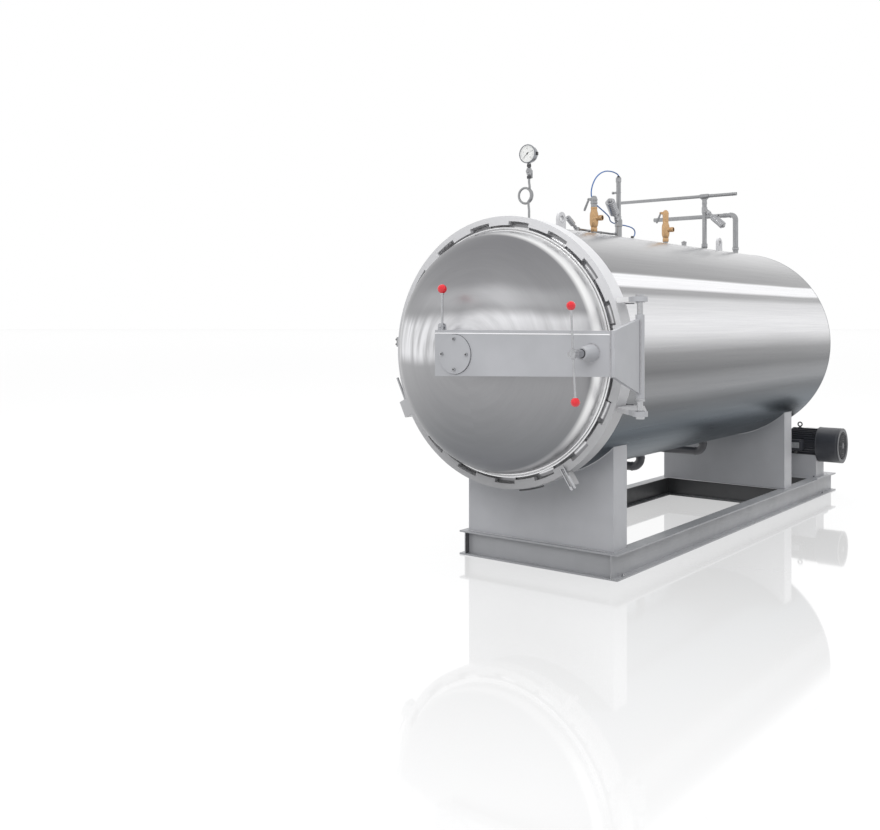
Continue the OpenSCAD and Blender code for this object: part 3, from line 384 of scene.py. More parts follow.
# Material slots: the maker of each, its name and the maker's values
SLOTS = [
    (frame_paint, "beam_paint", (0.37, 0.375, 0.39)),
    (painted, "saddle_paint", (0.46, 0.465, 0.485), 0.45),
    # Near black as painted shade: the vessel's steel shows only behind the locking ring, in shadow.
    (plain_metal, "vessel_steel", (0.10, 0.10, 0.105), 0.45),
    (rolled_jacket, "jacket_steel"),
    (ring_enamel, "ring_paint", (0.42, 0.425, 0.445)),
    (rim_metal, "rim_steel", (0.88, 0.88, 0.89)),
    (brushed_dish, "dish_steel"),
    (painted, "dark_paint", (0.05, 0.05, 0.055)),
    (plain_metal, "bright_steel", (0.46, 0.465, 0.48), 0.2),
    (plastic, "gasket_rubber", (0.03, 0.03, 0.03), 0.6, 0.0),
    (plastic, "red_knob", (0.70, 0.0, 0.012), 0.14, 0.5),
    (plain_metal, "pipe_steel", (0.36, 0.365, 0.375), 0.3, (1, 1, 0.2)),
    (plain_metal, "valve_steel", (0.40, 0.405, 0.415), 0.32),
    (plain_metal, "valve_brass", (0.62, 0.40, 0.215), 0.38, (1, 1, 1), 0.15, 90.0, 0.85),
    (plain_metal, "gauge_case", (0.30, 0.31, 0.33), 0.22),
    (plastic, "tube_blue", (0.02, 0.13, 0.40), 0.3),
    (plastic, "black_plastic", (0.02, 0.02, 0.022), 0.4),
    (painted, "drain_paint", (0.10, 0.10, 0.11)),
    (painted, "pump_paint", (0.06, 0.062, 0.07)),
    (painted, "motor_paint", (0.035, 0.037, 0.045), 0.4),
    (plain_metal, "weld_steel", (0.48, 0.48, 0.50), 0.38, (1, 1, 1), 0.35, 220.0),
    # Near black: painted shade inside bores, openings and recesses, and the dark gaps of joints.
    (plastic, "bore_dark", (0.012, 0.012, 0.013), 0.7, 0.0),
    (dial_face, "dial_face"),
    # Near-white paint for a painted highlight.
    (painted, "edge_paint", (0.92, 0.92, 0.93)),
    (plain_metal, "lever_steel", (0.27, 0.275, 0.285), 0.3),
    (plain_metal, "blank_plate", (0.62, 0.63, 0.64), 0.36, (1, 0.1, 1)),
]
MATS = {name: make(name, *values) for make, name, *values in SLOTS}


def dress_frame():
    """Every CAD node gets the material of its slot."""
    slots = {s["node"]: s["material_slot"] for s in frame["record"]["subparts"]}
    for name, obj in nodes.items():
        obj.data.materials.clear()
        obj.data.materials.append(MATS[slots[name]])


dress_frame()


# Slots that the pieces name often
BRIGHT = "bright_steel"
VALVE = "valve_steel"
PIPE = "pipe_steel"
# Near black: painted shade inside bores, openings and recesses, and the dark gaps of joints.
BORE = "bore_dark"
WELD = "weld_steel"
MOTOR = "motor_paint"
BLACK = "black_plastic"
BRASS = "valve_brass"


# Mesh helpers
def mm(*pairs):
    """Pairs of sizes given in millimetres."""
    return [(a * 0.001, b * 0.001) for a, b in pairs]


def circle_points(centre, u, v, r, start=0.0, end=360.0, steps=24):
    """Points on an arc, from angle start to end in degrees, measured from u towards v."""
    turns = [radians(start + (end - start) * k / steps) for k in range(steps + 1)]
    return [Vector(centre) + u * (r * cos(a)) + v * (r * sin(a)) for a in turns]


def rounded(w, h, r, steps=4):
    """The outline of a w by h rectangle with corners of radius r, about its middle."""
    points = []
    for k, (sx, sy) in enumerate(((1, 1), (-1, 1), (-1, -1), (1, -1))):
        for i in range(steps + 1):
            a = radians(90 * (k + i / steps))
            points.append((sx * (w / 2 - r) + r * cos(a), sy * (h / 2 - r) + r * sin(a)))
    return points


class Solid:
    """One piece, put together from turned, swept and flat parts in the frame's own place."""

    def __init__(self):
        self.bm = bmesh.new()
        self.keys = []

    def loft(self, rings, key, closed=False):
        """A skin through rings of points, capped at both ends or closed on itself."""
        if key not in self.keys:
            self.keys.append(key)
        slot = self.keys.index(key)
        rows = [[self.bm.verts.new(p) for p in ring] for ring in rings]
        pairs = list(zip(rows, rows[1:])) + ([(rows[-1], rows[0])] if closed else [])
        n = len(rows[0])
        faces = [self.bm.faces.new((a[k], a[(k + 1) % n], b[(k + 1) % n], b[k])) for a, b in pairs for k in range(n)]
        if not closed:
            faces += [self.bm.faces.new(rows[0][::-1]), self.bm.faces.new(rows[-1])]
        for face in faces:
            face.material_index = slot

    def turn(self, at, axis, profile, key, sides=32):
        """A turned part: profile lists (distance along the axis, radius)."""
        spin = Vector(axis).normalized().to_track_quat("Z", "Y").to_matrix()
        at = Vector(at)
        angles = [2 * pi * k / sides for k in range(sides)]
        self.loft([[at + spin @ Vector((r * cos(a), r * sin(a), h)) for a in angles] for h, r in profile], key)

    def pipe(self, points, r, key, sides=16, closed=False, ripple=0.0):
        """A round bar or pipe along points; ripple makes it a weld bead."""
        points = [Vector(p) for p in points]
        last = len(points) - 1
        side = (points[1] - points[0]).orthogonal().normalized()
        rings = []
        for i, p in enumerate(points):
            ahead = points[(i + 1) % (last + 1) if closed else min(i + 1,
                    last)] - points[i - 1 if closed else max(i - 1, 0)]
            ahead.normalize()
            side = (side - ahead * side.dot(ahead)).normalized()
            up = ahead.cross(side)
            size = r * (1 + ripple * sin(2.2 * i))
            rings.append([p + side * (size * cos(a)) + up * (size * sin(a))
                          for a in (2 * pi * k / sides for k in range(sides))])
        self.loft(rings, key, closed)

    def ring(self, centre, axis, r, thick, key, steps=96, sides=10, ripple=0.0):
        """A closed round bar or weld bead about an axis."""
        u = Vector(axis).orthogonal().normalized()
        v = Vector(axis).normalized().cross(u)
        self.pipe(circle_points(centre, u, v, r, steps=steps)[:-1], thick, key, sides, True, ripple)

    def seam(self, a, b, r, key=WELD):
        """A straight weld bead."""
        a, b = Vector(a), Vector(b)
        steps = max(4, int((b - a).length / (1.1 * r)))
        self.pipe([a.lerp(b, k / steps) for k in range(steps + 1)], r, key, 8, False, 0.16)

    def plate(self, outline, origin, u, v, depth, key, edge=0.001):
        """A flat part: its outline in directions u and v, depth along their cross, with broken edges."""
        origin, w = Vector(origin), u.cross(v)
        cx = sum(p[0] for p in outline) / len(outline)
        cy = sum(p[1] for p in outline) / len(outline)
        far = max(hypot(x - cx, y - cy) for x, y in outline)
        rings = []
        for h, inset in ((0, edge), (edge, 0), (depth - edge, 0), (depth, edge)):
            share = 1 - inset / far
            rings.append([origin + u * (cx + (x - cx) * share) + v * (cy + (y - cy) * share) + w * h for x,
                    y in outline])
        self.loft(rings, key)

    def nut(self, at, axis, r, h, key=BRIGHT):
        self.turn(at, axis, [(0, 0.9 * r), (0.12 * h, r), (0.88 * h, r), (h, 0.9 * r)], key, 6)

    def bolt(self, at, axis, r, key=BRIGHT):
        """A washer, a hexagon head and the end of its thread."""
        at, axis = Vector(at), Vector(axis).normalized()
        self.turn(at, axis, [(0, 1.3 * r), (0.15 * r, 1.3 * r), (0.2 * r, 1.22 * r)], key, 20)
        self.nut(at + axis * (0.2 * r), axis, r, 0.9 * r, key)
        self.turn(at + axis * (1.05 * r), axis, [(0, 0.5 * r), (0.45 * r, 0.5 * r), (0.55 * r, 0.4 * r)], key, 14)

    def socket_screw(self, at, axis, r):
        self.turn(at, axis, [(0, r), (0.8 * r, r), (r, 0.9 * r), (r, 0.56 * r), (0.4 * r, 0.5 * r)], BRIGHT, 24)
        # A near-black disc at the recess's bottom: painted shade in the hexagon socket.
        self.turn(Vector(at) + axis * (0.42 * r), axis, [(0, 0.49 * r), (0.03 * r, 0.49 * r)], BORE, 6)

    def done(self, name, body="root", stands_for=(), smooth=38):
        bmesh.ops.recalc_face_normals(self.bm, faces=self.bm.faces)
        mesh = bpy.data.meshes.new(name)
        self.bm.to_mesh(mesh)
        self.bm.free()
        for key in self.keys:
            mesh.materials.append(MATS[key])
        mesh.shade_smooth()
        mesh.set_sharp_from_angle(angle=radians(smooth))
        obj = new_object(name, mesh)
        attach(obj, body)
        if stands_for:
            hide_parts(*stands_for)


def around_y(radius, angle, y):
    """A point at a distance from the vessel's axis, angle in degrees clockwise from the top."""
    a = radians(angle)
    return Vector((radius * sin(a), y, AXIS.z + radius * cos(a)))


# Frame and saddles: weld beads and floor bolts
beams_lo, beams_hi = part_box("side_beams")
saddles_lo, saddles_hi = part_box("saddles")
BEAM_TOP = beams_hi.z
SADDLE_D = 0.150


def frame_welds():
    s = Solid()
    x = saddles_hi.x
    for y in (saddles_lo.y, saddles_hi.y - SADDLE_D):
        for edge in (y, y + SADDLE_D):
            s.seam((-x, edge, BEAM_TOP), (x, edge, BEAM_TOP), 0.004)
        for side in (-1, 1):
            s.seam((side * x, y, BEAM_TOP), (side * x, y + SADDLE_D, BEAM_TOP), 0.004)
            reach = degrees(asin(x / JACKET_R))
            for edge in (y + 0.002, y + SADDLE_D - 0.002):
                arc = [around_y(JACKET_R + 0.002, 180 - side * reach * k / 60, edge) for k in range(61)]
                s.pipe(arc, 0.0035, WELD, 8, False, 0.1)
    s.done("frame_welds")


def floor_bolts():
    """Bolts on the side beams' bottom flanges, by the cross beams."""
    s = Solid()
    for x in (beams_lo.x + 0.040, beams_hi.x - 0.040):
        for y in (0.0, middle("pump_bed").y):
            for off in (-0.022, 0.022):
                s.bolt((x + off, y + 0.055, 0.009), Z, 0.008)
    s.done("floor_bolts")


frame_welds()
floor_bolts()


# Cladding: rolled front edge, the weld inside it, and the joint of the rear cover
def cladding_trim():
    s = Solid()
    front, rear = jacket_lo.y, jacket_hi.y
    s.ring((0, front + 0.001, AXIS.z), Y, JACKET_R - 0.002, 0.0032, BRIGHT, 180, 10)
    s.ring((0, rear, AXIS.z), Y, JACKET_R - 0.0015, 0.003, WELD, 180, 8)
    s.ring((0, front + 0.002, AXIS.z), Y, 0.652, 0.005, WELD, 180, 8, 0.1)
    s.done("cladding_trim")


cladding_trim()


# Door: rim beads, the shaft's weld, screws of the bearing cap, weld beads of the arm, and a white bar that is a
# painted highlight on the arm's top edge
rim_lo, rim_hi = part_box("door_rim")
dish_lo, dish_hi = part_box("door_dish")
arm_lo, arm_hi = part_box("door_arm")
cap_lo, cap_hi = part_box("bearing_cap")
RIM_R = 0.661
DISH_R = (dish_hi.z - dish_lo.z) / 2
ARM_FACE = arm_lo.y + 0.090
ARM_REAR = arm_hi.y


def door_beads():
    s = Solid()
    y = rim_lo.y
    s.ring((0, y + 0.0005, AXIS.z), Y, RIM_R - 0.0045, 0.0042, "rim_steel", 240, 12)
    s.ring((0, y + 0.001, AXIS.z), Y, DISH_R + 0.0025, 0.0045, "rim_steel", 240, 12, 0.04)
    s.ring((0, y, AXIS.z), Y, DISH_R + 0.0095, 0.0012, BORE, 240, 6)
    s.done("door_beads", "door")


def cap_screws():
    s = Solid()
    centre = Vector((0, cap_lo.y, AXIS.z))
    reach = 0.076
    for a in (0, 90, 180, 270):
        s.socket_screw(around_y(reach, a, cap_lo.y), -Y, 0.0085)
    s.ring(centre + Y * 0.0015, Y, (cap_hi.z - cap_lo.z) / 2 - 0.001, 0.0016, "ring_paint", 120, 8)
    s.ring(centre + Y * 0.008, Y, (cap_hi.z - cap_lo.z) / 2 + 0.0006, 0.0012, BORE, 120, 6)
    s.done("cap_screws", "door")


hinge = Vector((middle("hinge_pin").x, middle("hinge_pin").y, AXIS.z))
ARM_END = hinge.x - 0.010


def arm_welds():
    s = Solid()
    low, high = 1.1155, 1.3205
    for y in (ARM_FACE, ARM_REAR):
        s.seam((ARM_END, y, low), (ARM_END, y, high), 0.0035)
    for z in (low, high):
        s.seam((ARM_END, ARM_FACE, z), (ARM_END, ARM_REAR, z), 0.0035)
    # A white round bar along the arm's top edge: a painted highlight.
    s.pipe([(arm_lo.x + 0.002, ARM_FACE + 0.001, arm_hi.z - 0.0505), (ARM_END, ARM_FACE + 0.001, arm_hi.z - 0.0505)],
            0.003, "edge_paint", 10)
    for side in (-1, 1):
        s.seam((hinge.x + side * 0.012, hinge.y - 0.018, AXIS.z - 0.17),
               (hinge.x + side * 0.012, hinge.y - 0.018, AXIS.z + 0.17), 0.004)
    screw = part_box("clamp_screw")
    centre = (screw[0] + screw[1]) / 2
    s.ring((centre.x, ARM_FACE, centre.z), Y, 0.0425, 0.003, WELD, 72, 8, 0.12)
    s.ring((0, ARM_REAR, AXIS.z), Y, 0.0895, 0.003, WELD, 96, 8, 0.12)
    s.done("arm_welds", "door")


door_beads()
cap_screws()
arm_welds()


# Clamp screw: collar ring, ferrules of the ball knobs and thread; latch: pin caps and ferrule
screw_lo, screw_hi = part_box("clamp_screw")


def screw_details():
    s = Solid()
    centre = middle("clamp_screw")
    hub = Vector((centre.x, screw_lo.y + 0.016, centre.z))
    s.ring((centre.x, ARM_FACE - 0.0905, centre.z), Y, 0.0192, 0.0022, BORE, 48, 8)
    for off in (-0.0125, 0.0125):
        s.ring(hub + Y * off, Y, 0.0188, 0.0011, BRIGHT, 48, 8)
    s.turn(hub - Y * 0.016, -Y, mm((-1, 12), (1.2, 10), (1.6, 4)), BRIGHT, 24)
    tilt = radians(-3)
    bar = Vector((sin(tilt), 0, cos(tilt)))
    for side in (-1, 1):
        s.turn(hub + bar * side * 0.188, bar * side, mm((0, 5.2), (0, 8), (7, 9), (9, 7.5)), BRIGHT, 24)
        s.turn(hub + bar * side * 0.0185, bar * side, mm((-2, 9), (3, 9), (5, 5.5)), BRIGHT, 24)
    for k in range(7):
        s.ring((centre.x, ARM_REAR + 0.004 + 0.0035 * k, centre.z), Y, 0.0119, 0.0009, BRIGHT, 32, 6)
    s.done("screw_details", "screw")


def latch_details():
    s = Solid()
    knob = middle("latch_knob")
    pin = Vector((knob.x, knob.y, 1.3395))
    for side in (-1, 1):
        at = pin + Y * side * 0.0165
        s.turn(at, Y * side, mm((0, 8.8), (2, 8.8), (3.5, 6.5)), BRIGHT, 20)
    s.turn(knob - Z * 0.030, Z, mm((0, 6.2), (0.5, 10), (8, 11), (9.5, 9)), BRIGHT, 24)
    s.done("latch_details", "latch")


screw_details()
latch_details()


# Hinge: washers of the pin, bolts and weld beads of the lugs
def hinge_details():
    s = Solid()
    for z in (AXIS.z - 0.202, AXIS.z - 0.2075):
        s.ring((hinge.x, hinge.y, z), Z, 0.0215, 0.0018, BRIGHT, 48, 8)
    for side in (-1, 1):
        z = AXIS.z + side * 0.267
        s.ring((hinge.x, hinge.y, z - side * 0.0135), Z, 0.0205, 0.0016, BRIGHT, 48, 8)
        s.bolt((0.735, -0.225, z - 0.012), -Z, 0.011, "dark_paint")
        s.seam((0.59, jacket_lo.y - 0.001, z + 0.013), (0.70, jacket_lo.y - 0.001, z + 0.013), 0.004)
        s.seam((0.59, jacket_lo.y - 0.001, z - 0.013), (0.70, jacket_lo.y - 0.001, z - 0.013), 0.004)
    s.done("hinge_details")


# Locking ring: edge beads, the bars of its stop, and the end of its handle
ring_lo, ring_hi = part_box("locking_ring")
RING_R = (ring_hi.z - ring_lo.z) / 2


def ring_details():
    s = Solid()
    s.ring((0, ring_lo.y + 0.0022, AXIS.z), Y, RING_R - 0.0022, 0.0021, "ring_paint", 240, 8)
    s.ring((0, ring_hi.y - 0.0022, AXIS.z), Y, RING_R - 0.0022, 0.0021, "ring_paint", 240, 8)
    stop = middle("ring_stop")
    out = (stop - Vector((0, stop.y, AXIS.z))).normalized()
    along = out.cross(Y)
    for off in (-0.011, 0.011):
        origin = Vector((0, ring_lo.y - 0.007, AXIS.z)) + out * (RING_R - 0.028) + along * off
        s.plate(rounded(0.006, 0.120, 0.002), origin + out * 0.06, along, out, -0.012, BRIGHT, 0.0006)
    for reach in (0.700, 0.716):
        s.socket_screw(Vector((0, ring_lo.y - 0.010, AXIS.z)) + out * reach, -Y, 0.0042)
    rod = circle_points((0, ring_lo.y + 0.020, AXIS.z), X, Z, RING_R + 0.009, 278, 290, 10)
    s.pipe(rod, 0.0045, "dark_paint", 10)
    block = middle("ring_handle_block")
    for off in (-0.018, 0.018):
        s.bolt(Vector((block.x, block.y + off,
                block.z)) + (block - Vector((0, block.y, AXIS.z))).normalized() * 0.030,
               block - Vector((0, block.y, AXIS.z)), 0.007)
    s.done("ring_details", "ring")


hinge_details()
ring_details()


# Top fittings
def weld_foot(s, x, y, r):
    """A weld bead round a stub on the cladding's crown."""
    s.turn((x, y, TOP - 0.003), Z, [(0, r + 0.006), (0.0035, r + 0.005), (0.007, r + 0.002), (0.0085, r)], WELD, 40)


def gauge():
    """The pressure gauge: case, bezel, dial with generic figures, needle and filling plug."""
    s = Solid()
    centre = middle("pressure_gauge")
    s.turn(centre, -Y, mm((-23, 40), (-20, 44.5), (-16, 46), (11, 47), (11.2, 51.5), (13, 52), (20, 52), (23, 50.5),
            (23, 47.5), (19.5, 46.8)), "gauge_case", 64)
    s.turn(centre, -Y, mm((19.5, 46.2), (19.9, 46.2)), "dial_face", 64)
    face = centre - Y * 0.0200
    full, marks = 270.0, 40
    for k in range(marks + 1):
        a = radians(225 - full * k / marks)
        way = X * cos(a) + Z * sin(a)
        inner, wide = (0.0335, 0.0007) if k % 10 == 0 else (0.0365, 0.0005) if k % 5 == 0 else (0.0385, 0.0003)
        s.plate([(inner, -wide), (0.0405, -wide), (0.0405, wide), (inner, wide)], face, way, -Y.cross(way), 0.0002,
                BLACK, 0.00002)
    a = radians(222)
    way = X * cos(a) + Z * sin(a)
    s.plate(mm((34, 0), (4, 1.2), (-11, 2.2), (-11, -2.2), (4, -1.2)), face - Y * 0.0012, way,
            -Y.cross(way), 0.0005, BLACK, 0.00005)
    s.turn(face, -Y, mm((0, 4.2), (2.2, 4), (2.8, 2.5)), BLACK, 24)
    s.plate(rounded(0.016, 0.018, 0.002), centre + X * 0.044 + Y * 0.004, Y, Z, 0.0095, BLACK)
    s.turn(centre - Z * 0.028, -Z, mm((0, 12.5), (19, 12.5), (21, 11.8)), BRIGHT, 6)
    s.done("gauge", stands_for=("pressure_gauge",))
    for k in range(5):
        a = radians(225 - full * k / 4)
        text = bpy.data.curves.new("figure", "FONT")
        text.body = str(4 * k)
        text.size = 0.0095
        text.align_x, text.align_y = "CENTER", "CENTER"
        figure = new_object(f"gauge_figure_{k}", text)
        figure.location = face - Y * 0.0002 + (X * cos(a) + Z * sin(a)) * 0.0272
        figure.rotation_euler = (radians(90), 0, 0)
        text.materials.append(MATS[BLACK])
        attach(figure, "root")


def siphon():
    """The gauge's pipe: foot, pigtail loop, union nuts and a tapered plug cock."""
    s = Solid()
    y = middle("pressure_gauge").y
    foot = Vector((0, y, TOP))
    loop = Vector((-0.025, y, TOP + 0.168))
    loop_r, pipe_r, turn_a = 0.042, 0.0065, 53.5
    weld_foot(s, 0, y, 0.014)
    s.nut(foot + Z * 0.006, Z, 0.0155, 0.020, VALVE)
    coil = circle_points(loop, X, Z, loop_r, -turn_a, 360 + turn_a, 72)
    for i, p in enumerate(coil):
        p.y += 0.0075 * sin(pi * (i / 72 - 0.5))
    start = [Vector((0, y, z)) for z in (TOP + 0.02, TOP + 0.05, TOP + 0.085)] + [Vector((0, y - 0.005, TOP + 0.112))]
    end = [Vector((0, y + 0.005, TOP + 0.222)), Vector((0, y, TOP + 0.240)), Vector((0, y, TOP + 0.335))]
    s.pipe(start + coil + end, pipe_r, PIPE, 14)
    cock = foot + Z * 0.300
    s.turn(cock - Z * 0.022, Z, mm((0, 8.5), (4, 12.5), (14, 15.5), (30, 15.5), (40, 12.5), (44, 8.5)),
           VALVE, 28)
    s.nut(cock - Z * 0.040, Z, 0.0135, 0.016, "dark_paint")
    s.nut(cock + Z * 0.024, Z, 0.0135, 0.014, "dark_paint")
    s.turn(cock - Y * 0.020, Y, mm((0, 8), (2, 10), (36, 8.5), (40, 6)), VALVE, 20)
    s.plate(rounded(0.010, 0.046, 0.0045), cock + Y * 0.024 - Z * 0.012, X, Z, -0.004, VALVE, 0.0008)
    s.nut(cock + Z * 0.040, Z, 0.0125, 0.010, VALVE)
    s.done("siphon", stands_for=("gauge_siphon",))


def relief_valve(node, grey_cap):
    """A spring safety valve: hexagon foot, bellied body, bonnet with collars, outlet and the lever's two ears."""
    s = Solid()
    y = middle(node).y
    foot = Vector((0, y, TOP))
    weld_foot(s, 0, y, 0.0165)
    s.turn(foot, Z, mm((0, 16.5), (22, 16.5)), PIPE)
    s.nut(foot + Z * 0.018, Z, 0.0225, 0.026, BRASS)
    s.turn(foot, Z, mm((43, 16.5), (48, 19.5), (56, 23), (72, 26), (118, 26), (131, 24.5), (142, 20.5), (150, 19),
            (159, 19)), BRASS, 40)
    s.nut(foot + Z * 0.156, Z, 0.0225, 0.012, BRASS)
    if grey_cap:
        cap = mm((167, 18.5), (186, 18.5), (188, 21.5), (196, 21.5), (198, 19.5), (206, 19.5), (208, 21.5),
                (216, 21.5), (219, 19), (230, 17), (236, 9))
        s.turn(foot, Z, cap, VALVE, 36)
    else:
        cap = mm((167, 19.5), (200, 20.5), (212, 21.5), (224, 18.5), (232, 12), (236, 4))
        s.turn(foot, Z, cap, BRASS, 36)
    port = foot + Z * 0.100
    s.turn(port, X, mm((16, 20), (24, 17), (29, 15.5), (34, 15.5)), BRASS)
    for k in range(4):
        s.turn(port + X * (0.033 + 0.0035 * k), X, mm((0, 15.5), (1.2, 16.8), (2.4, 16.8), (3.6, 15.5)), BRASS)
    s.turn(port, X, mm((46, 16.5), (48, 17), (57, 17), (58, 16), (58, 12.5), (50, 12)), BRASS)
    # A near-black disc inside the outlet: painted shade in its bore.
    s.turn(port, X, mm((50.5, 12.1), (51, 12.1)), BORE)
    pivot = foot + Z * 0.216 - X * 0.033
    ear = mm((22, 8), (22, -8)) + [(0.008 * cos(radians(a)), 0.008 * sin(radians(a)))
                                               for a in range(270, 89, -15)]
    for near in (-0.011, 0.006):
        s.plate(ear, pivot + Y * (near + 0.005), X, Z, 0.005, VALVE if grey_cap else BRASS, 0.0004)
    s.done(node.replace("valve", "body"), stands_for=(node,))


def relief_lever(node, body):
    """A safety valve's lifting lever: a strip that widens to its free end, with its pivot bolt."""
    s = Solid()
    pivot = Vector((-0.033, middle(node).y, TOP + 0.216))
    a = radians(115)
    way = X * cos(a) - Z * sin(a)
    strip = mm((-6, 5), (-6, -5), (12, -5.5), (60, -6.5), (72, -5.5), (75.5, 0), (72, 5.5), (60, 6.5), (12, 5.5))
    s.plate(strip, pivot - Y * 0.003, way, way.cross(Y), 0.006, "lever_steel", 0.0006)
    s.turn(pivot - Y * 0.0108, Y, mm((0, 3), (21.6, 3)), "lever_steel", 16)
    for side in (-1, 1):
        s.turn(pivot + Y * side * 0.0106, Y * side, mm((0, 4.8), (2, 4.8), (3, 3.4)), "lever_steel", 6)
    s.done(node.replace("lever", "handle"), body, (node,))


VALVE_LEAN, STEAM_LEAN, PURGE_LEAN = radians(42), radians(48), radians(60)


def actuator(s, at, axis, neck_r, neck_l, head_r, head_l, ribs=7):
    """An angle-seat valve's bonnet and ribbed piston head with its indicator cap and air port."""
    at, axis = Vector(at), Vector(axis).normalized()
    s.turn(at, axis, [(0.004, neck_r * 1.1), (neck_l * 0.35, neck_r * 1.05), (neck_l * 0.4, neck_r * 0.85),
            (neck_l, neck_r * 0.8)],
           VALVE, 28)
    s.nut(at + axis * neck_l * 0.36, axis, neck_r * 1.35, neck_l * 0.24, BRIGHT)
    s.nut(at + axis * neck_l * 0.82, axis, neck_r * 1.15, neck_l * 0.16, BRIGHT)
    profile = [(neck_l, head_r * 0.72), (neck_l + head_l * 0.04, head_r * 0.97)]
    step = head_l * 0.9 / ribs
    for k in range(ribs):
        foot = neck_l + head_l * 0.05 + step * k
        profile += [(foot, head_r), (foot + step * 0.58, head_r), (foot + step * 0.66, head_r * 0.93),
                (foot + step * 0.92, head_r * 0.93)]
    profile += [(neck_l + head_l * 0.97, head_r), (neck_l + head_l, head_r * 0.9)]
    s.turn(at, axis, profile, BRIGHT, 40)
    top = neck_l + head_l
    s.turn(at, axis, [(top - 0.001, head_r * 0.5), (top + head_r * 0.30, head_r * 0.48),
            (top + head_r * 0.44, head_r * 0.36),
                      (top + head_r * 0.5, head_r * 0.12)], VALVE, 28)
    side = axis.cross(X if abs(axis.x) < 0.5 else Y).normalized()
    port = at + axis * (neck_l + head_l * 0.25) + side * head_r * 0.95
    s.nut(port, side, head_r * 0.26, head_r * 0.2, BRIGHT)
    s.turn(port + side * head_r * 0.2, side, [(0, head_r * 0.19), (head_r * 0.22, head_r * 0.19), (head_r * 0.26,
            head_r * 0.13)],
           BLACK, 18)


def vent():
    s = Solid()
    y = middle("vent_pipe").y
    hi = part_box("vent_pipe")[1]
    foot = Vector((0, y, TOP))
    valve = foot + Z * 0.095
    weld_foot(s, 0, y, 0.021)
    s.turn(foot, Z, mm((0, 20.5), (70, 20.5), (72, 23.5), (112, 23.5), (118, 20.5), (124, 15.5)), PIPE, 40)
    s.nut(foot + Z * 0.120, Z, 0.0195, 0.020, VALVE)
    s.turn(foot, Z, mm((135, 14.5), (355, 14.5)), PIPE, 32)
    s.turn((0, y, hi.z - 0.030), Z, mm((0, 15), (2, 17.5), (26, 17.5), (30, 16.5)), VALVE, 32)
    stub = foot + Z * 0.287
    s.turn(stub - X * 0.012, -X, mm((0, 9.5), (6, 8), (10, 6.5), (33, 6.5)), PIPE, 20)
    s.nut(stub - X * 0.032, -X, 0.0095, 0.012, VALVE)
    s.ring(stub, Z, 0.0150, 0.0020, WELD, 36, 8)
    s.done("vent", stands_for=("vent_pipe",))
    s = Solid()
    lean = Vector((0, -sin(VALVE_LEAN), cos(VALVE_LEAN)))
    actuator(s, valve, lean, 0.014, 0.072, 0.031, 0.100)
    s.done("vent_actuator", stands_for=("vent_valve",))


def purge():
    """The thin line along the crown and its own small valve."""
    s = Solid()
    y = middle("vent_pipe").y
    x, front, z, bend = -0.045, 0.500, TOP + 0.028, 0.018
    weld_foot(s, x, front, 0.011)
    s.turn((x, front, TOP - 0.004), Z, mm((0, 11), (16, 11), (18, 14.5), (42, 14.5), (44, 12)), VALVE, 28)
    s.nut((x, front + 0.014, z), Y, 0.0125, 0.012, VALVE)
    run = [Vector((x, front + 0.01 + (y - bend - front - 0.01) * k / 8, z)) for k in range(9)]
    run += circle_points((x + bend, y - bend, z), -X, Y, bend, 0, 90, 8)[1:] + [Vector((0, y, z))]
    s.pipe(run, 0.0070, PIPE, 14)
    s.nut((x + bend + 0.002, y, z), X, 0.0115, 0.010, VALVE)
    for k in (1, 2):
        at = front + (y - front) * k / 3
        s.plate(rounded(0.030, 0.010, 0.002), (x, at, TOP - 0.0012), X, Y, 0.005, PIPE, 0.0006)
        s.ring((x, at, z - 0.001), Y, 0.0078, 0.0016, BRIGHT, 28, 8)
        s.turn((x, at, TOP), Z, mm((0, 4), (22, 4)), PIPE, 12)
    lean = Vector((0, -sin(PURGE_LEAN), cos(PURGE_LEAN)))
    actuator(s, (x, front, z), lean, 0.009, 0.050, 0.017, 0.070, 5)
    s.done("purge", stands_for=("purge_line",))


def nozzle():
    s = Solid()
    at = middle("top_nozzle")
    foot = Vector((0, at.y, TOP))
    weld_foot(s, 0, at.y, 0.0165)
    s.turn(foot, Z, mm((0, 16.5), (26, 16.5), (28, 18.5), (36, 18.5), (37.5, 16.5)), VALVE)
    s.nut(foot + Z * 0.0370, Z, 0.0105, 0.0055, BRIGHT)
    s.done("nozzle", stands_for=("top_nozzle",))


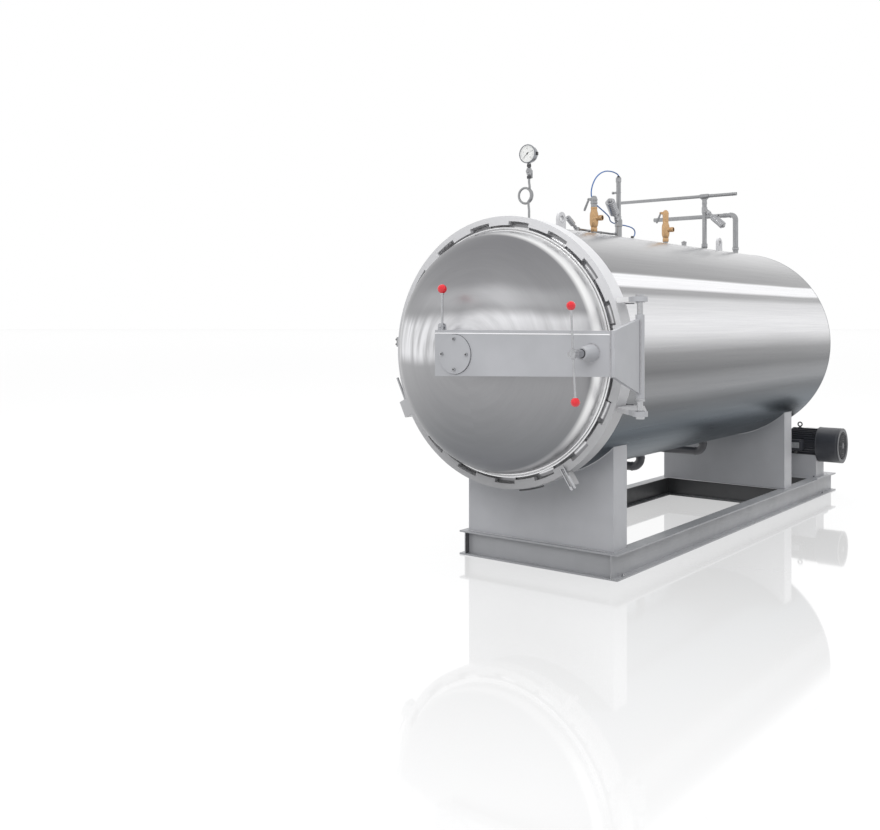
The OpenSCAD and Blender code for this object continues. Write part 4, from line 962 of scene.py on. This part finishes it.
def steam():
    s = Solid()
    lo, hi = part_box("steam_riser")
    y, z = (lo.y + hi.y) / 2, hi.z - 0.019
    foot = Vector((0, y, TOP))
    weld_foot(s, 0, y, 0.017)
    s.turn(foot, Z, mm((0, 16.5), (18, 16.5), (20, 21.5), (44, 21.5), (46, 16.5), (345, 16.5)), PIPE, 36)
    s.ring(foot + Z * 0.019, Z, 0.0208, 0.0022, BORE, 48, 8)
    s.turn(foot + Z * 0.268, Z, mm((0, 16.8), (3, 20.5), (44, 20.5), (47, 16.8)), VALVE, 36)
    s.turn(foot + Z * 0.332, Z, mm((0, 16.8), (4, 19), (30, 16.5), (34, 15.5)), PIPE, 36)
    s.turn((-0.036, y, z), X, mm((0, 12.5), (2, 15.5), (12, 17), (60, 17), (70, 15.5), (72, 12.5)), PIPE, 32)
    s.turn((lo.x, y, z), X, [(0, 0.0095), (0, 0.0120), (hi.x - lo.x - 0.012, 0.0120), (hi.x - lo.x - 0.012, 0.0095)],
            PIPE, 28)
    s.turn((hi.x, y, z), -X, mm((4, 8), (0, 10), (0, 12), (3, 12), (14, 12)), VALVE, 28)
    # A near-black disc inside the pipe's open end: painted shade.
    s.turn((lo.x, y, z), -X, mm((-6, 9.8), (-5.8, 9.8)), BORE, 24)
    for k in range(3):
        s.ring((0.05 + 0.006 * k, y, z), X, 0.0122, 0.0014, BRIGHT, 36, 8)
    s.ring((hi.x - 0.030, y, z), X, 0.0122, 0.0016, WELD, 36, 8)
    for side in (-1, 1):
        s.plate([(0, 0), (side * 0.034, 0), (0, -0.040)], (0, y - 0.002, z - 0.010), X, Z, -0.004, PIPE, 0.0005)
    s.done("steam", stands_for=("steam_riser",))
    s = Solid()
    lean = Vector((sin(STEAM_LEAN), 0, -cos(STEAM_LEAN)))
    actuator(s, foot + Z * 0.298, lean, 0.014, 0.088, 0.027, 0.104)
    s.done("steam_actuator", stands_for=("steam_valve",))


def spray():
    s = Solid()
    lo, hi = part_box("spray_riser")
    y, z, bend = (lo.y + hi.y) / 2, hi.z - 0.021, 0.038
    foot = Vector((0, y, TOP))
    weld_foot(s, 0, y, 0.021)
    s.turn(foot, Z, [(0, 0.0205), (0.030, 0.0205), (0.032, 0.0245), (0.052, 0.0245), (0.054, 0.0205),
            (z - TOP - bend - 0.004, 0.0205)],
           PIPE, 40)
    s.turn(foot + Z * 0.040, Z, mm((0, 24.9), (5, 24.9)), BRIGHT, 40)
    elbow = circle_points((-bend, y, z - bend), X, Z, bend, 0, 90, 14)
    s.pipe([elbow[0] - Z * 0.006] + elbow + [elbow[-1] - X * 0.006], 0.0200, PIPE, 28)
    s.ring(elbow[0] - Z * 0.003, Z, 0.0205, 0.0024, WELD, 48, 8, 0.1)
    s.ring(elbow[-1] - X * 0.003, X, 0.0198, 0.0024, WELD, 48, 8, 0.1)
    start = Vector((-bend - 0.004, y, z))
    s.turn(start, -X, mm((0, 19.5), (20, 17), (24, 17)), PIPE, 36)
    for k in range(4):
        s.ring(start - X * (0.030 + 0.008 * k), X, 0.0172, 0.0020, BRIGHT, 44, 8)
    s.turn((lo.x, y, z), X, [(0, 0.0140), (0, 0.0165), (-bend - 0.02 - lo.x, 0.0165), (-bend - 0.02 - lo.x, 0.014)],
            PIPE, 32)
    # A near-black disc inside the pipe's open end: painted shade.
    s.turn((lo.x, y, z), -X, mm((-6, 14.5), (-5.8, 14.5)), BORE, 24)
    s.done("spray", stands_for=("spray_riser",))


def lug_welds():
    s = Solid()
    lo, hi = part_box("lifting_lugs")
    half = 0.042
    for y in (lo.y + half, hi.y - half):
        for x in (-0.008, 0.008):
            s.seam((x, y - half, TOP + 0.001), (x, y + half, TOP + 0.001), 0.0042)
        s.ring((-0.008, y, TOP + 0.064), X, 0.0205, 0.0012, BRIGHT, 48, 6)
        s.ring((0.008, y, TOP + 0.064), X, 0.0205, 0.0012, BRIGHT, 48, 6)
    s.done("lug_welds")


gauge()
siphon()
relief_valve("front_relief_valve", True)
relief_valve("rear_relief_valve", False)
relief_lever("front_relief_lever", "front_lever")
relief_lever("rear_relief_lever", "rear_lever")
vent()
purge()
nozzle()
steam()
spray()
lug_welds()


# Air tube from the vent pipe's top to a socket on the cladding, along the route of its solid
TUBE_R = 0.004
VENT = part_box("vent_pipe")[1]
TUBE_ROUTE = [(0, 0.940, VENT.z), (0, 0.940, VENT.z + 0.006), (0, 0.940, VENT.z + 0.012), (-0.002, 0.924, 2.293),
              (-0.004, 0.880, 2.300), (-0.007, 0.830, 2.300), (-0.010, 0.780, 2.293), (-0.015, 0.730, 2.274),
              (-0.021, 0.690, 2.244), (-0.027, 0.664, 2.205), (-0.031, 0.652, 2.165), (-0.032, 0.654, 2.130),
              (-0.029, 0.668, 2.100), (-0.022, 0.702, 2.077), (-0.016, 0.790, 2.041), (-0.020, 0.850, 2.019),
              (-0.038, 0.900, 2.001), (-0.046, 0.945, 1.991), (-0.038, 1.000, 1.984), (-0.018, 1.060, 1.979),
              (-0.004, 1.115, 1.971), (0, 1.150, 1.958), (0, 1.162, 1.938), (0, 1.150, 1.918), (0, 1.128, 1.906)]


def smooth_route(route, steps=8):
    """A curve through every point of the route."""
    p = [Vector(q) for q in route]
    last = len(p) - 1
    curve = []
    for i in range(last):
        a, b, c, d = p[max(i - 1, 0)], p[i], p[i + 1], p[min(i + 2, last)]
        for k in range(steps):
            t = k / steps
            square, cube = 2 * a - 5 * b + 4 * c - d, 3 * b - a - 3 * c + d
            curve.append(0.5 * (2 * b + (c - a) * t + square * t * t + cube * t ** 3))
    return curve + [p[last]]


def air_tube():
    points = smooth_route(TUBE_ROUTE)
    curve = bpy.data.curves.new("air_hose", "CURVE")
    curve.dimensions = "3D"
    curve.bevel_depth = TUBE_R
    curve.bevel_resolution = 4
    curve.use_fill_caps = True
    line = curve.splines.new("POLY")
    line.points.add(len(points) - 1)
    for point, place in zip(line.points, points):
        point.co = (*place, 1.0)
    curve.materials.append(MATS["tube_blue"])
    hose = new_object("air_hose", curve)
    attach(hose, "root")
    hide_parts("air_tube")
    s = Solid()
    top, end = points[0], points[-1]
    s.turn(top - Z * 0.001, Z, mm((0, 11.8), (5, 11.8), (7, 9), (10, 9), (11, 6)), BLACK, 24)
    way = (points[-1] - points[-4]).normalized()
    s.turn(end - way * 0.012, way, mm((0, 5.5), (1, 7), (12, 7), (14, 8.5), (20, 8.5)), BLACK, 20)
    foot = Vector((end.x, end.y - 0.006, TOP))
    s.nut(foot, Z, 0.0115, 0.012, BRIGHT)
    s.turn(foot + Z * 0.010, Z, mm((0, 8.5), (12, 8.5), (15, 6)), BLACK, 20)
    s.done("air_fittings")


air_tube()


# Interlock valve beside the ring: its bracket, body, two ports and screws
def interlock_valve():
    s = Solid()
    lo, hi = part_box("interlock_valve")
    rise, half = 0.020, 0.014
    body_lo = lo.x + 0.016
    y, z = lo.y + half, (lo.z + hi.z) / 2
    plate_x = body_lo + 2 * half
    s.plate(rounded(0.040, 2 * rise, 0.004), (plate_x + 0.006, lo.y + 0.020, z), Y, Z, -0.006, BRIGHT)
    s.plate([(0, -rise), (jacket_lo.y + 0.040 - lo.y - 0.030, -rise), (jacket_lo.y + 0.040 - lo.y - 0.030, rise),
            (0, rise)],
            (plate_x + 0.006, lo.y + 0.030, z), Y, Z, -0.006, BRIGHT)
    s.plate([(0, -rise), (hi.x - plate_x, -rise), (hi.x - plate_x, rise), (0, rise)],
            (plate_x, jacket_lo.y + 0.040, z), X, Z, 0.038, BRIGHT)
    s.plate(rounded(2 * half, 0.056, 0.003), (body_lo, y, z), Y, Z, 2 * half, VALVE, 0.0015)
    for side in (-1, 1):
        port = Vector((body_lo + 0.001, y, z + side * half))
        s.nut(port, -X, 0.0080, 0.006, VALVE)
        s.turn(port - X * 0.005, -X, mm((0, 6.5), (9, 6.5), (11, 5)), BLACK, 20)
        # A near-black disc on each port: painted shade in its hole.
        s.turn((body_lo + half, lo.y + 0.0012, z + side * half), -Y, mm((0, 6.5), (0.4, 6.5)), BORE, 20)
        s.socket_screw((body_lo + 0.004, lo.y + 0.0012, z + side * 0.024), -Y, 0.0022)
    s.done("interlock_body", stands_for=("interlock_valve",))


# Drain pipes: weld beads at the bends, and a clamped ferrule at each end
def drain_details():
    s = Solid()
    lo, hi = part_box("drain_pipes")
    r, bend = 0.028, 0.060
    z = lo.z + r
    for y in (lo.y + r, hi.y - r):
        s.ring((0, y, z + bend), Z, r, 0.0028, "drain_paint", 60, 8, 0.1)
        s.ring((-bend, y, z), X, r, 0.0028, "drain_paint", 60, 8, 0.1)
        s.turn((lo.x, y, z), X, [(0.0, r), (0.0, r + 0.012), (0.010, r + 0.012), (0.012, r + 0.010), (0.014, r)],
                "drain_paint", 40)
        # A near-black disc inside each pipe's open end: painted shade.
        s.turn((lo.x - 0.0002, y, z), X, [(0, r - 0.004), (0.0004, r - 0.004)], BORE, 32)
    s.done("drain_details")


# Pump and motor, on one shaft
SHAFT_Z = 0.400
BOX_X = 0.353


def pump_details():
    s = Solid()
    lo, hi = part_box("pump_casing")
    bed_lo, bed_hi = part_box("pump_bed")
    y, z = middle("pump_bed").y, SHAFT_Z
    face = 0.060
    for k in range(10):
        a = 2 * pi * k / 10
        s.bolt((face + 0.0885, y + 0.128 * cos(a), z + 0.128 * sin(a)), X, 0.006, BRIGHT)
    s.ring((face + 0.002, y, z), X, 0.1385, 0.0022, "pump_paint", 96, 8)
    s.ring((face + 0.062, y, z), X, 0.1402, 0.0026, "pump_paint", 96, 8)
    for k in range(8):
        a = 2 * pi * (k + 0.5) / 8
        s.bolt((lo.x + 0.012, y + 0.055 * cos(a), z + 0.055 * sin(a)), X, 0.006)
        s.bolt((face + 0.045 + 0.055 * cos(a), y + 0.070 + 0.055 * sin(a), hi.z - 0.012), -Z, 0.006)
    # Near-black discs in the inlet and the outlet: painted shade in their bores.
    s.turn((lo.x - 0.0003, y, z), X, mm((0, 30), (0.4, 30)), BORE, 32)
    s.turn((face + 0.045, y + 0.070, hi.z), Z, mm((0, 30), (0.4, 30)), BORE, 32)
    for x in (bed_lo.x + 0.040, bed_hi.x - 0.040):
        for off in (-0.09, 0.09):
            s.bolt((x, y + off, bed_hi.z if x < 0 else BEAM_TOP + 0.012), Z, 0.009)
    s.done("pump_details")


def motor_details():
    s = Solid()
    lo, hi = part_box("pump_motor")
    y, z = middle("pump_bed").y, SHAFT_Z
    end, r = hi.x, 0.135
    s.turn((end - 0.020, y, z), X, [(0, r + 0.0008), (0.008, r), (0.015, r - 0.005), (0.019, r - 0.014),
            (0.020, r - 0.030)], MOTOR, 72)
    s.turn((end - 0.173, y, z), X, [(0, r + 0.001), (0.006, r + 0.001), (0.008, r)], MOTOR, 72)
    # A near-black disc behind the fan cover's grille: painted shade inside it.
    s.turn((end, y, z), X, mm((0, 98), (0.6, 98)), BORE, 60)
    for reach in (0.024, 0.042, 0.060, 0.078, 0.096):
        s.ring((end + 0.0006, y, z), X, reach, 0.0022, MOTOR, 64, 6)
    for k in range(12):
        a = 2 * pi * k / 12
        way = Vector((0, cos(a), sin(a)))
        s.pipe([Vector((end + 0.0006, y, z)) + way * 0.022, Vector((end + 0.0006, y, z)) + way * 0.098], 0.0016,
                MOTOR, 6)
    s.turn((end, y, z), X, mm((0, 23), (2, 23), (3, 20)), MOTOR, 40)
    s.plate(rounded(0.110, 0.070, 0.006), (BOX_X, lo.y + 0.0004, z), X, Z, 0.0030, MOTOR, 0.0015)
    s.plate(rounded(0.078, 0.044, 0.003), (BOX_X, lo.y - 0.0022, z), X, Z, 0.0012, "blank_plate", 0.0004)
    for sx in (-0.047, 0.047):
        for sz in (-0.030, 0.030):
            s.socket_screw((BOX_X + sx, lo.y - 0.0024, z + sz), -Y, 0.0038)
    s.nut((BOX_X, lo.y + 0.040, z - 0.040), -Z, 0.017, 0.012, BLACK)
    s.turn((BOX_X, lo.y + 0.040, z - 0.050), -Z, mm((0, 13), (14, 12), (20, 8)), BLACK, 24)
    s.plate(rounded(0.100, 0.056, 0.003), (0.430, y, z + 0.1222), X, Y, 0.0014, "blank_plate", 0.0004)
    s.turn((0.340, y, z + 0.112), Z, mm((0, 14), (12, 14), (14, 10), (20, 8)), MOTOR, 24)
    s.ring((0.340, y, z + 0.148), Y, 0.016, 0.0050, MOTOR, 40, 10)
    s.done("motor_details")


interlock_valve()
drain_details()
pump_details()
motor_details()


# Floor, world and lamps
def shader_node(tree, kind, *sources, **values):
    """A node's output, with sources linked to its inputs in order and values set by input name."""
    node = tree.nodes.new("ShaderNode" + kind)
    for socket, source in zip(node.inputs, sources):
        tree.links.new(source, socket)
    for name, value in values.items():
        node.inputs[name].default_value = value
    return node.outputs[0]


def white_for_camera(tree, plain, white):
    """Shows white to camera, glossy and transmission rays, and the plain shader to all others."""
    path = tree.nodes.new("ShaderNodeLightPath")
    seen = path.outputs["Is Camera Ray"]
    for name in ("Is Glossy Ray", "Is Transmission Ray"):
        seen = shader_node(tree, "Math", seen, path.outputs[name])
        seen.node.operation = "MAXIMUM"
    return shader_node(tree, "MixShader", seen, plain, white)


def make_floor():
    bm = bmesh.new()
    bmesh.ops.create_grid(bm, x_segments=1, y_segments=1, size=400)
    mesh = bpy.data.meshes.new("floor")
    bm.to_mesh(mesh)
    bm.free()
    floor = new_object("floor", mesh)
    mat = bpy.data.materials.new("floor")
    mat.use_nodes = True
    tree = mat.node_tree
    plain = tree.nodes["Principled BSDF"]
    plain.inputs["Base Color"].default_value = (0.5, 0.5, 0.5, 1)
    plain.inputs["Roughness"].default_value = 0.4
    cloth = shader_node(tree, "BsdfDiffuse", Color=(0.15, 0.15, 0.15, 1))
    white = shader_node(tree, "AddShader", cloth, shader_node(tree, "Emission", Strength=0.86))
    gloss = shader_node(tree, "BsdfGlossy", Color=(1, 1, 1, 1), Roughness=0.04)
    both = shader_node(tree, "MixShader", shader_node(tree, "Fresnel", IOR=1.6), white, gloss)
    tree.links.new(white_for_camera(tree, plain.outputs[0], both), tree.nodes["Material Output"].inputs["Surface"])
    mesh.materials.append(mat)


def make_world():
    world = bpy.data.worlds.new("world")
    bpy.context.scene.world = world
    world.use_nodes = True
    tree = world.node_tree
    plain = tree.nodes["Background"]
    plain.inputs["Color"].default_value = (0.97, 0.98, 1.0, 1)
    plain.inputs["Strength"].default_value = 0.55
    white = shader_node(tree, "Background", Color=(1, 1, 1, 1), Strength=1.0)
    tree.links.new(white_for_camera(tree, plain.outputs[0], white), tree.nodes["World Output"].inputs["Surface"])


def area_lamp(name, place, aim, size, power, glossy=True, diffuse=True):
    data = bpy.data.lights.new(name, "AREA")
    data.shape = "RECTANGLE"
    data.size, data.size_y = size
    data.energy = power
    lamp = new_object(name, data)
    lamp.location = place
    lamp.rotation_euler = (Vector(aim) - Vector(place)).to_track_quat("-Z", "Y").to_euler()
    lamp.visible_glossy, lamp.visible_diffuse = glossy, diffuse


make_floor()
make_world()
area_lamp("top_lamp", (0, 1.0, 9.0), (0, 1.0, 0), (24.0, 24.0), 1900, glossy=False)
area_lamp("front_lamp", (2.5, -7.0, 4.0), (0, -0.5, 1.2), (4.0, 3.0), 160, glossy=False)
area_lamp("small_lamp", (-1.5, -6.5, 4.5), (0, -0.7, 1.2), (0.4, 0.4), 10, diffuse=False)

bpy.context.scene.view_settings.view_transform = "Standard"
